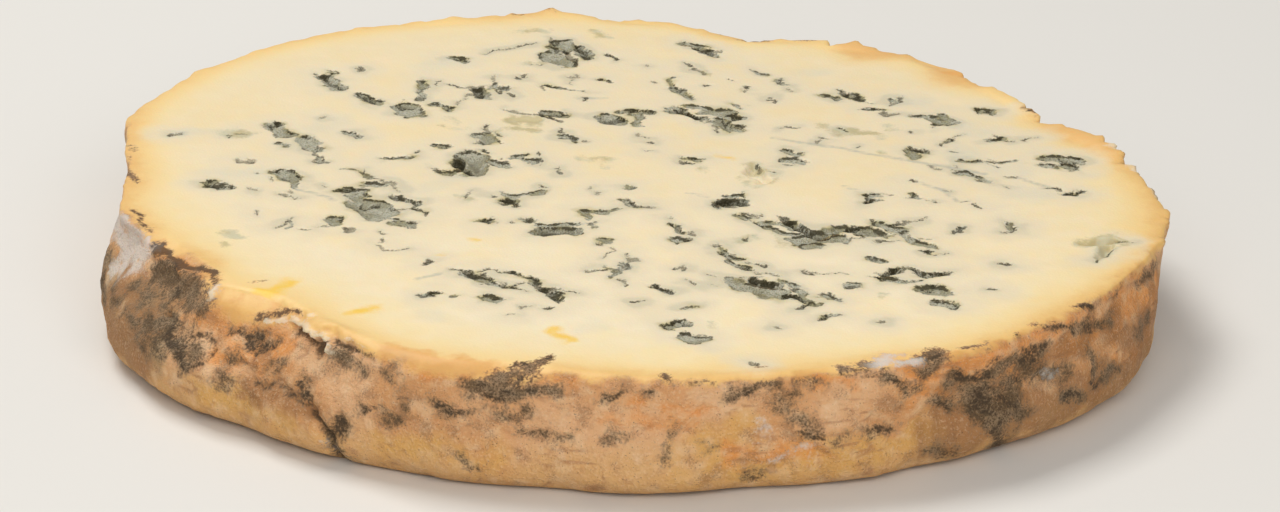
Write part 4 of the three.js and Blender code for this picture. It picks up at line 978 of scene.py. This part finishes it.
# %% Where the rim is rounded, ragged, chipped or full: direction, half width and size
ROUNDED_RIM = [(250, 60, 2.0), (312, 26, 1.2)]
RAGGED_RIM = [
    (22, 34, 0.4), (62, 18, 0.4), (92, 16, 0.3), (112, 28, 0.2), (208, 12, 0.5), (234, 10, 0.5),
    (345, 14, 0.4),
]
RIM_CHIPS = [
    (4.0, 1.2, 0.5), (5.4, 0.9, -0.6), (8.2, 1.3, 0.8), (11.3, 0.8, -0.4), (12.9, 0.9, 0.5),
    (19.4, 1.4, 0.9), (22.2, 1.6, -0.5), (27.0, 1.0, -0.5), (35.6, 1.4, 0.4), (41.5, 0.9, -0.4),
    (53.0, 0.8, -0.4), (59.4, 1.5, 0.8), (61.9, 0.8, -1.0), (69.0, 1.4, 0.4), (73.0, 0.9, -0.5),
    (79.5, 1.2, 0.4), (88.0, 1.2, 0.5), (92.5, 0.9, -0.4), (98.6, 1.6, 0.6), (104.0, 1.1, -0.5),
    (110.0, 1.6, 0.5), (116.0, 1.2, -0.3), (121.0, 1.8, 0.3), (128.0, 1.6, -0.2), (135.0, 1.9, 0.2),
    (144.0, 2.0, 0.2), (150.0, 1.8, -0.2), (156.0, 2.0, 0.2), (163.0, 1.6, -0.2),
]
FULL_LIPS = [(221, 14, 0.7)]
print(len(RIM_CHIPS), "chips along the rim")

# %% Flakes that stand out: height, width, then direction and level in turn
RIM_FLAKES = [
    (0.5, 0.9, 229.8, 14.0, 231.6, 14.3, 233.6, 14.4), (0.8, 1.1, 233.8, 14.6, 236.2, 14.4),
    (0.9, 0.9, 236.8, 14.6, 238.0, 13.6, 238.4, 12.8), (0.35, 0.5, 239.6, 15.8, 242.8, 15.9),
    (0.4, 0.8, 3.0, 15.3, 5.4, 14.9), (0.5, 0.9, 9.4, 15.4, 11.8, 14.9),
    (0.4, 0.7, 354.6, 15.2, 358.0, 15.3), (0.4, 0.8, 226.2, 13.5, 229.0, 14.1),
    (0.25, 0.5, 231.6, 15.8, 232.8, 16.8), (0.4, 0.8, 216.8, 15.0, 217.0, 13.4),
]
print(len(RIM_FLAKES), "flakes")

# %% Round off the corner between the cut face and the wall
LEAST_ROUNDING = 0.5
corner_height = THICKNESS + swells_at(RIM_LIPS, wall_angle) + knife_wave(wall[:, 0], wall[:, 1])
below_corner = np.maximum(corner_height - wall_height, 0.0)
inside_corner = np.maximum(inward[on_wall] + rind_lumps(wall_angle, THICKNESS), 0.0)
from_corner = np.where(cut_side, inside_corner, below_corner)
rounding = LEAST_ROUNDING + swells_at(ROUNDED_RIM, wall_angle)
bend = math.radians(45.0) * np.clip(1.0 - from_corner / rounding, 0.0, 1.0)
worn_along = rounding * (1.0 - np.sin(bend)) - np.minimum(from_corner, rounding)
worn_off = rounding * (1.0 - np.cos(bend))
worn_in = np.where(cut_side, worn_along, worn_off)
worn_down = np.where(cut_side, worn_off, worn_along)
print("rounded by, in mm:", rounding.min().round(2), "to", rounding.max().round(2))

# %% Crumble, chip and smear the corner, fill out its lips and raise its flakes
CORNER_REACH = 1.3
LEAST_RAGGED = 0.12
CRUMBS = [(1.0, 4.0, 41), (0.5, 1.8, 42)]
CRUMB_EDGE = 0.15
SMEARS = [(1.0, 1.5, 45), (0.6, 0.9, 46)]
SMEAR_HEIGHT = 0.10
SMEAR_REACH = 2.5
CRUMB_LIFT = 0.4
CHIP_LIFT = 0.3
LIP_DROP = 4.5
corner = np.exp(-((from_corner / CORNER_REACH) ** 2))
ragged = (LEAST_RAGGED + swells_at(RAGGED_RIM, wall_angle)) * corner
crumbled = smooth_step(clouds(wall, CRUMBS), -CRUMB_EDGE, CRUMB_EDGE) - 0.5
chipped = corner * swells_at(RIM_CHIPS, wall_angle)
smeared = SMEAR_HEIGHT * np.exp(-((from_corner / SMEAR_REACH) ** 2)) * clouds(wall, SMEARS)
rim_push = ragged * (crumbled + 0.4 * cloud(wall, 1.6, 44)) + chipped + smeared
rim_lift = CRUMB_LIFT * ragged * crumbled + CHIP_LIFT * chipped
full = np.where(cut_side, 0.0, np.sin(np.pi * np.clip(below_corner / LIP_DROP, 0.0, 1.0)))
rim_push += full * swells_at(FULL_LIPS, wall_angle)
flake = np.full(len(wall), NOWHERE)
for out, width, *path in RIM_FLAKES:
    inside = inside_mark(width, *path)
    rim_push += out * smooth_step(inside, -0.1, 0.3)
    flake = np.maximum(flake, inside)
store_field("flake", on_wall, flake)
print("rim relief, mm:", rim_push.min().round(2), "to", rim_push.max().round(2))

# %% The wall: wrinkles, fine creases that run round it, folds, and a crust on the moulds
ALONG_THE_WALL = (0.22, 0.22, 1.0)
UP_THE_WALL = (1.0, 1.0, 0.2)
WRINKLES = [(0.30, 7.0, 31), (0.18, 2.6, 32), (0.09, 1.1, 33)]
CREASE_DEPTH = 0.2
CREASE_WIDTH = 0.16
CRUST_HEIGHT = 0.12
wrinkle = clouds(wall, WRINKLES)
creased = smooth_step(cloud(wall, 6.0, 36), -0.2, 0.3)
crease = smooth_step(np.abs(cloud(wall * ALONG_THE_WALL, 1.3, 35)), CREASE_WIDTH, 0.0) * creased
streak = cloud(wall * UP_THE_WALL, 1.0, 37)
for depth, width, *path in FOLDS:
    from_fold = width / 2.0 - inside_mark(width, *path)
    wrinkle -= depth * np.exp(-((from_fold / width) ** 2))
crust = CRUST_HEIGHT * smooth_step(fields["grey"][on_wall], -0.3, 0.8) * cloud(wall, 0.8, 34)
below_rim = np.where(cut_side, 0.0, smooth_step(below_corner, 0.2, 1.6))
wall_only = below_rim * smooth_step(wall_height, 0.0, 0.8)
push = (wrinkle + crust - CREASE_DEPTH * crease) * wall_only + rim_push - worn_in
points[on_wall, 0] += push * np.cos(np.radians(wall_angle))
points[on_wall, 1] += push * np.sin(np.radians(wall_angle))
points[on_wall, 2] += rim_lift - worn_down
store_field("crease", on_wall, crease)
store_field("streak", on_wall, streak)
print("rind relief, mm:", push.min().round(2), "to", push.max().round(2))

# %% How far each point is from the rim, from the tan band beside it and from the start of the rind
TAN_BAND = [
    (57, 7, 4.4), (41, 9, 4.0), (49, 14, 1.8), (14, 16, 3.4), (75, 14, 1.4), (100, 10, 1.2), (130, 60, 0.5),
    (208, 12, 1.6), (350, 24, 1.4), (178, 30, 1.6), (250, 15, 1.5), (214, 8, 0.8),
]
RIND_START = [
    (209, 9, 2.8), (193, 8, 1.0), (223, 10, -2.2), (243, 12, 0.3), (270, 16, 0.9), (288, 9, 0.3),
    (298, 7, 1.8), (318, 16, 1.0), (345, 16, -0.3),
]
lowered = np.minimum(height - THICKNESS - swells_at(RIM_LIPS, angle), 0.0)
from_rim = np.where(on_face, np.maximum(inward, 0.0), lowered)
behind = smooth_step(np.sin(np.radians(angle)), -0.3, 0.5)
wide_cloud = cloud(points, 8.0, 61)
patch_cloud = clouds(points, [(1.0, 2.4, 62), (0.5, 1.2, 63)])
fields["wide"] = wide_cloud
fields["patch"] = patch_cloud
fields["dust"] = clouds(points, [(1.0, 1.7, 64), (0.6, 0.8, 65)])
fields["rim"] = from_rim * (0.75 + 0.65 * behind) + 1.4 * wide_cloud + 0.5 * patch_cloud
fields["front"] = 1.0 - behind
# How far back a point lies, for the painted shade that darkens the paste towards the back
fields["far"] = points[:, 1]
fields["band"] = 0.2 + swells_at(TAN_BAND, angle) - from_rim + 0.7 * patch_cloud
fields["rind"] = -0.5 + swells_at(RIND_START, angle) - from_rim + 0.8 * patch_cloud
veins = np.maximum(fields["fur"], fields["ink"])
dry_share = np.maximum(smooth_step(veins, -0.3, 0.3), smooth_step(fields["rind"], -0.7, 1.0))
fields["dry"] = 0.1 + 0.9 * dry_share
print("measures:", ", ".join(fields))

# %% Set the finished points over the solid and keep the measures on them
put_points(cheese_slice.data, points - MIDDLE)
for name, values in fields.items():
    layer = cheese_slice.data.attributes.new(name, "FLOAT", "POINT")
    layer.data.foreach_set("value", values)
bpy.ops.object.select_all(action="DESELECT")
cheese_slice.select_set(True)
bpy.context.view_layer.objects.active = cheese_slice
bpy.ops.object.shade_smooth()
bpy.ops.object.mode_set(mode="EDIT")
bpy.ops.mesh.select_all(action="SELECT")
bpy.ops.mesh.quads_convert_to_tris(quad_method="SHORTEST_DIAGONAL", ngon_method="BEAUTY")
bpy.ops.object.mode_set(mode="OBJECT")
cheese_slice.data.calc_loop_triangles()
print("finished skin:", len(cheese_slice.data.loop_triangles), "triangles,", len(fields), "measures")

# %% [markdown]
# ## Paint
# One material covers the slice, because paste, vein and rind run into one another. It starts with cream
# paste that turns yellow towards the rim, lays a cool haze round the veins, then the veins, and at last
# the rind with its moulds. Every edge is a stored measure plus a fine noise, cut at a threshold, so edges
# are crisp but frayed at any zoom.

# %% The material, and what it reads: the stored measures and three grains of noise
cheese_paint = bpy.data.materials.new("cheese")
cheese_paint.use_nodes = True
tree = cheese_paint.node_tree
shader = tree.nodes["Principled BSDF"]
here = tree.nodes.new("ShaderNodeTexCoord").outputs["Object"]


def wire(value, socket):
    if isinstance(value, bpy.types.NodeSocket):
        tree.links.new(value, socket)
    else:
        socket.default_value = value


def measure(name):
    node = tree.nodes.new("ShaderNodeAttribute")
    node.attribute_name = name
    return node.outputs["Fac"]


def grain(size, detail):
    node = tree.nodes.new("ShaderNodeTexNoise")
    wire(here, node.inputs["Vector"])
    wire(1.0 / (size * MM), node.inputs["Scale"])
    wire(detail, node.inputs["Detail"])
    return node.outputs["Fac"]


COARSE_GRAIN = 0.9
FINE_GRAIN = 0.32
DOT_GRAIN = 0.19
coarse = grain(COARSE_GRAIN, 2.0)
fine = grain(FINE_GRAIN, 1.0)
dots = grain(DOT_GRAIN, 0.0)
print("grains of noise, in mm:", COARSE_GRAIN, FINE_GRAIN, DOT_GRAIN)

# %% Helpers that reckon with measures and lay one colour over another
def reckon(operation, first, second):
    node = tree.nodes.new("ShaderNodeMath")
    node.operation = operation
    wire(first, node.inputs[0])
    wire(second, node.inputs[1])
    return node.outputs[0]


def frayed(value, noise_value, reach):
    wobble = reckon("MULTIPLY", reckon("SUBTRACT", noise_value, 0.5), 2.0 * reach)
    return reckon("ADD", value, wobble)


def spread(value, low, high, top=1.0, bottom=0.0):
    node = tree.nodes.new("ShaderNodeMapRange")
    node.interpolation_type = "SMOOTHSTEP"
    wire(value, node.inputs["Value"])
    wire(low, node.inputs["From Min"])
    wire(high, node.inputs["From Max"])
    wire(bottom, node.inputs["To Min"])
    wire(top, node.inputs["To Max"])
    return node.outputs["Result"]


def blend(share, under, over):
    node = tree.nodes.new("ShaderNodeMix")
    node.data_type = "RGBA"
    wire(share, node.inputs["Factor"])
    wire(under, node.inputs[6])
    wire(over, node.inputs[7])
    return node.outputs[2]


# One coat over another: a measure, where it starts and where it is full, its most cover, and its colour
def coats(under, layers):
    for value, start, full, most, colour in layers:
        under = blend(spread(value, start, full, most), under, paint(*colour))
    return under


def frayed_measure(name, coarse_reach, fine_reach):
    return frayed(frayed(measure(name), coarse, coarse_reach), fine, fine_reach)


# %% Cream paste, yellower towards the rim, with a tan band at the edge and painted shade towards the back
wide = measure("wide")
patch = measure("patch")
rim = measure("rim")
band = frayed(measure("band"), coarse, 0.8)
orange = spread(frayed(measure("orange"), coarse, 0.8), -1.0, 0.9, 0.7)
paste = blend(spread(wide, -0.4, 0.4), paint(244, 229, 194), paint(246, 227, 184))
paste = coats(paste, [
    (patch, -0.4, 0.6, 0.35, (248, 233, 204)),
    # Painted shade: the paste grows darker towards the back
    (measure("far"), -45.0, 20.0, 0.35, (228, 205, 154)),
    (rim, 12.0, 1.5, 0.75, (247, 221, 160)),
    (frayed(rim, coarse, 0.6), 6.0, 0.5, 0.9, (245, 210, 141)),
    (band, -5.0, 1.0, 0.6, (242, 205, 135)),
    (band, -1.6, 2.8, 0.8, (229, 177, 106)),
])
paste = blend(orange, paste, paint(230, 166, 86))
print("nodes for the paste:", len(tree.nodes))

# %% Cool mist near the veins, khaki stains and butter spots in the paste
haze = measure("haze")
olive_rim = reckon("MULTIPLY", spread(measure("fur"), -1.0, 0.0, 0.5), spread(patch, 0.0, 0.4))
olive_paint = blend(spread(patch, -0.2, 0.3), paint(184, 171, 124), paint(196, 193, 162))
paste = coats(paste, [
    (haze, -4.5, -0.4, 0.85, (232, 218, 187)),
    (haze, -1.2, 0.2, 0.5, (196, 190, 164)),
    (measure("mist"), -2.4, 1.0, 0.28, (206, 208, 194)),
])
paste = blend(olive_rim, paste, paint(202, 186, 130))
paste = blend(spread(frayed(measure("needle"), coarse, 0.4), -0.5, 0.3, 0.6), paste, paint(170, 172, 158))
paste = blend(spread(frayed(measure("olive"), fine, 0.6), -0.7, 0.6, 0.75), paste, olive_paint)
paste = blend(spread(frayed(measure("butter"), fine, 0.3), -0.8, 0.9, 0.95), paste, paint(247, 202, 76))
print("nodes with the mist and the stains:", len(tree.nodes))

# %% Grey fur of the veins: mottled, dotted, with pale specks of painted highlight, olive or dark at its fringe, and darkest at far edges and in deep hollows, where dark mould carries painted shade
fur_edge = frayed_measure("fur", 0.5, 0.25)
fur_share = spread(fur_edge, -0.26, 0.1)
fringe = spread(fur_edge, 0.6, -0.15)
olive_fringe = reckon("MULTIPLY", fringe, spread(patch, -0.1, 0.25, 0.75))
dark_fringe = reckon("MULTIPLY", fringe, spread(coarse, 0.48, 0.58, 0.75))
far_wall_mould_and_shade_share = spread(frayed_measure("far_edge", 0.6, 0.5), 0.35, 0.8, 0.85)
fur_paint = blend(spread(patch, -0.3, 0.4), paint(181, 178, 158), paint(155, 151, 127))
fur_paint = coats(fur_paint, [
    (dots, 0.50, 0.66, 0.6, (108, 104, 80)),
    # Pale specks on the fur: painted highlights
    (fine, 0.58, 0.72, 0.35, (206, 203, 187)),
])
fur_paint = blend(olive_fringe, fur_paint, paint(148, 139, 92))
fur_paint = blend(dark_fringe, fur_paint, paint(60, 52, 24))
# Far walls of the veins: dark mould, deepened by painted shade
fur_paint = blend(far_wall_mould_and_shade_share, fur_paint, paint(54, 47, 20))
# Deeper hollows grow darker: dark mould with painted shade deeper down
deep_mould_and_shade_paint = blend(spread(dots, 0.48, 0.7, 0.45), paint(56, 46, 22), paint(120, 112, 89))
fur_paint = blend(spread(frayed(measure("depth"), coarse, 0.3), 0.55, 1.35, 0.9), fur_paint, deep_mould_and_shade_paint)
veined = blend(fur_share, paste, fur_paint)
print("nodes with the fur:", len(tree.nodes))

# %% Almost black lines
ink_edge = frayed_measure("ink", 0.25, 0.28)
ink_strength = reckon("MULTIPLY", spread(dots, 0.3, 0.6, 1.0, 0.7), spread(patch, -0.5, 0.3, 0.95, 0.6))
ink_share = reckon("MULTIPLY", spread(ink_edge, -0.15, 0.13), ink_strength)
veined = blend(ink_share, veined, paint(46, 40, 14))
print("nodes with the dark lines:", len(tree.nodes))

# %% Rind: pinkish tan with a pale dust, straw, shade and orange in places, and painted shade in its creases and low on its left
shade = reckon("ADD", measure("shade"), measure("streak"))
rind_paint = blend(spread(wide, -0.4, 0.4), paint(218, 171, 126), paint(207, 153, 102))
rind_paint = coats(rind_paint, [
    (rim, -5.5, -9.5, 0.7, (213, 168, 107)),
    (measure("straw"), -1.4, 1.4, 0.75, (214, 165, 92)),
    (measure("veil"), -1.4, 1.4, 0.6, (156, 136, 98)),
])
rind_paint = blend(orange, rind_paint, paint(222, 144, 68))
rind_paint = coats(rind_paint, [
    (patch, 0.0, 0.6, 0.35, (180, 134, 94)),
    (measure("dust"), -0.1, 0.7, 0.45, (229, 196, 156)),
    # Darker in the fine creases: painted shade
    (measure("crease"), 0.2, 0.9, 0.5, (168, 120, 84)),
    # Brown shade; low on the left wall it is partly painted shadow
    (shade, -1.4, 1.4, 0.75, (148, 104, 64)),
    (coarse, 0.50, 0.72, 0.3, (172, 124, 86)),
    (reckon("ADD", dots, patch), 0.85, 1.1, 0.35, (136, 102, 72)),
    (fine, 0.50, 0.76, 0.3, (234, 203, 166)),
])
print("nodes with the rind:", len(tree.nodes))

# %% Rind moulds: soft grey, white bloom and brown-black lines
grey_edge = frayed_measure("grey", 0.6, 0.9)
white_edge = frayed_measure("white", 0.6, 0.6)
dark_edge = frayed_measure("dark", 0.3, 0.5)
near_mould = spread(measure("grey"), -0.9, 1.2, 0.2)
grey_paint = blend(spread(patch, -0.3, 0.4), paint(127, 109, 85), paint(88, 73, 51))
grey_paint = coats(grey_paint, [
    (dots, 0.52, 0.70, 0.6, (60, 49, 33)),
    (fine, 0.52, 0.62, 0.6, (52, 40, 25)),
    (fine, 0.42, 0.30, 0.4, (158, 138, 110)),
])
rind_paint = blend(spread(grey_edge, -0.9, 0.9, 0.85), rind_paint, grey_paint)
rind_paint = coats(rind_paint, [
    (reckon("ADD", dots, near_mould), 0.74, 0.84, 0.5, (76, 63, 44)),
    (white_edge, -0.7, 0.9, 0.75, (214, 208, 200)),
    (dark_edge, -0.35, 0.4, 0.85, (66, 52, 36)),
])
print("nodes with the rind's moulds:", len(tree.nodes))

# %% Join paste and rind; moulds may climb over the rim on to the paste, and torn flakes stay pale
climbing = spread(reckon("MAXIMUM", reckon("MAXIMUM", grey_edge, white_edge), dark_edge), -0.4, 0.4)
rind_edge = frayed_measure("rind", 0.7, 0.5)
rind_share = reckon("MAXIMUM", spread(rind_edge, -0.7, 1.0), climbing)
edge_share = reckon("MULTIPLY", spread(rind_edge, -4.0, 0.3, 0.85), measure("front"))
edge_paint = blend(orange, paint(232, 186, 112), paint(206, 157, 94))
edged = blend(edge_share, veined, edge_paint)
joined = blend(rind_share, edged, rind_paint)
torn_edge = frayed_measure("flake", 0.4, 0.3)
joined = blend(spread(torn_edge, -0.2, 0.3, 0.75), joined, paint(234, 214, 184))
wire(joined, shader.inputs["Base Color"])
print("nodes with paste and rind joined:", len(tree.nodes))

# %% Surface: moist paste, dry fur and rind, and a fine grain
dryness = reckon("MAXIMUM", reckon("MAXIMUM", fur_share, ink_share), rind_share)
wire(spread(dryness, 0.0, 1.0, 0.85, 0.5), shader.inputs["Roughness"])
shader.inputs["Specular IOR Level"].default_value = 0.35
shader.inputs["Subsurface Weight"].default_value = 0.18
shader.inputs["Subsurface Radius"].default_value = (1.0, 0.55, 0.25)
shader.inputs["Subsurface Scale"].default_value = 2.0 * MM
bump = tree.nodes.new("ShaderNodeBump")
grains = reckon("SUBTRACT", reckon("ADD", coarse, fine), 1.0)
wire(reckon("MULTIPLY", grains, measure("dry")), bump.inputs["Height"])
bump.inputs["Strength"].default_value = 0.6
bump.inputs["Distance"].default_value = 0.4 * MM
wire(bump.outputs["Normal"], shader.inputs["Normal"])
cheese_slice.data.materials.append(cheese_paint)
print("nodes in the cheese material:", len(tree.nodes))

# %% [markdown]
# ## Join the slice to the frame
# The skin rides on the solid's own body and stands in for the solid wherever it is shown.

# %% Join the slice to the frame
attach(cheese_slice, "root")
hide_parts("cheese")
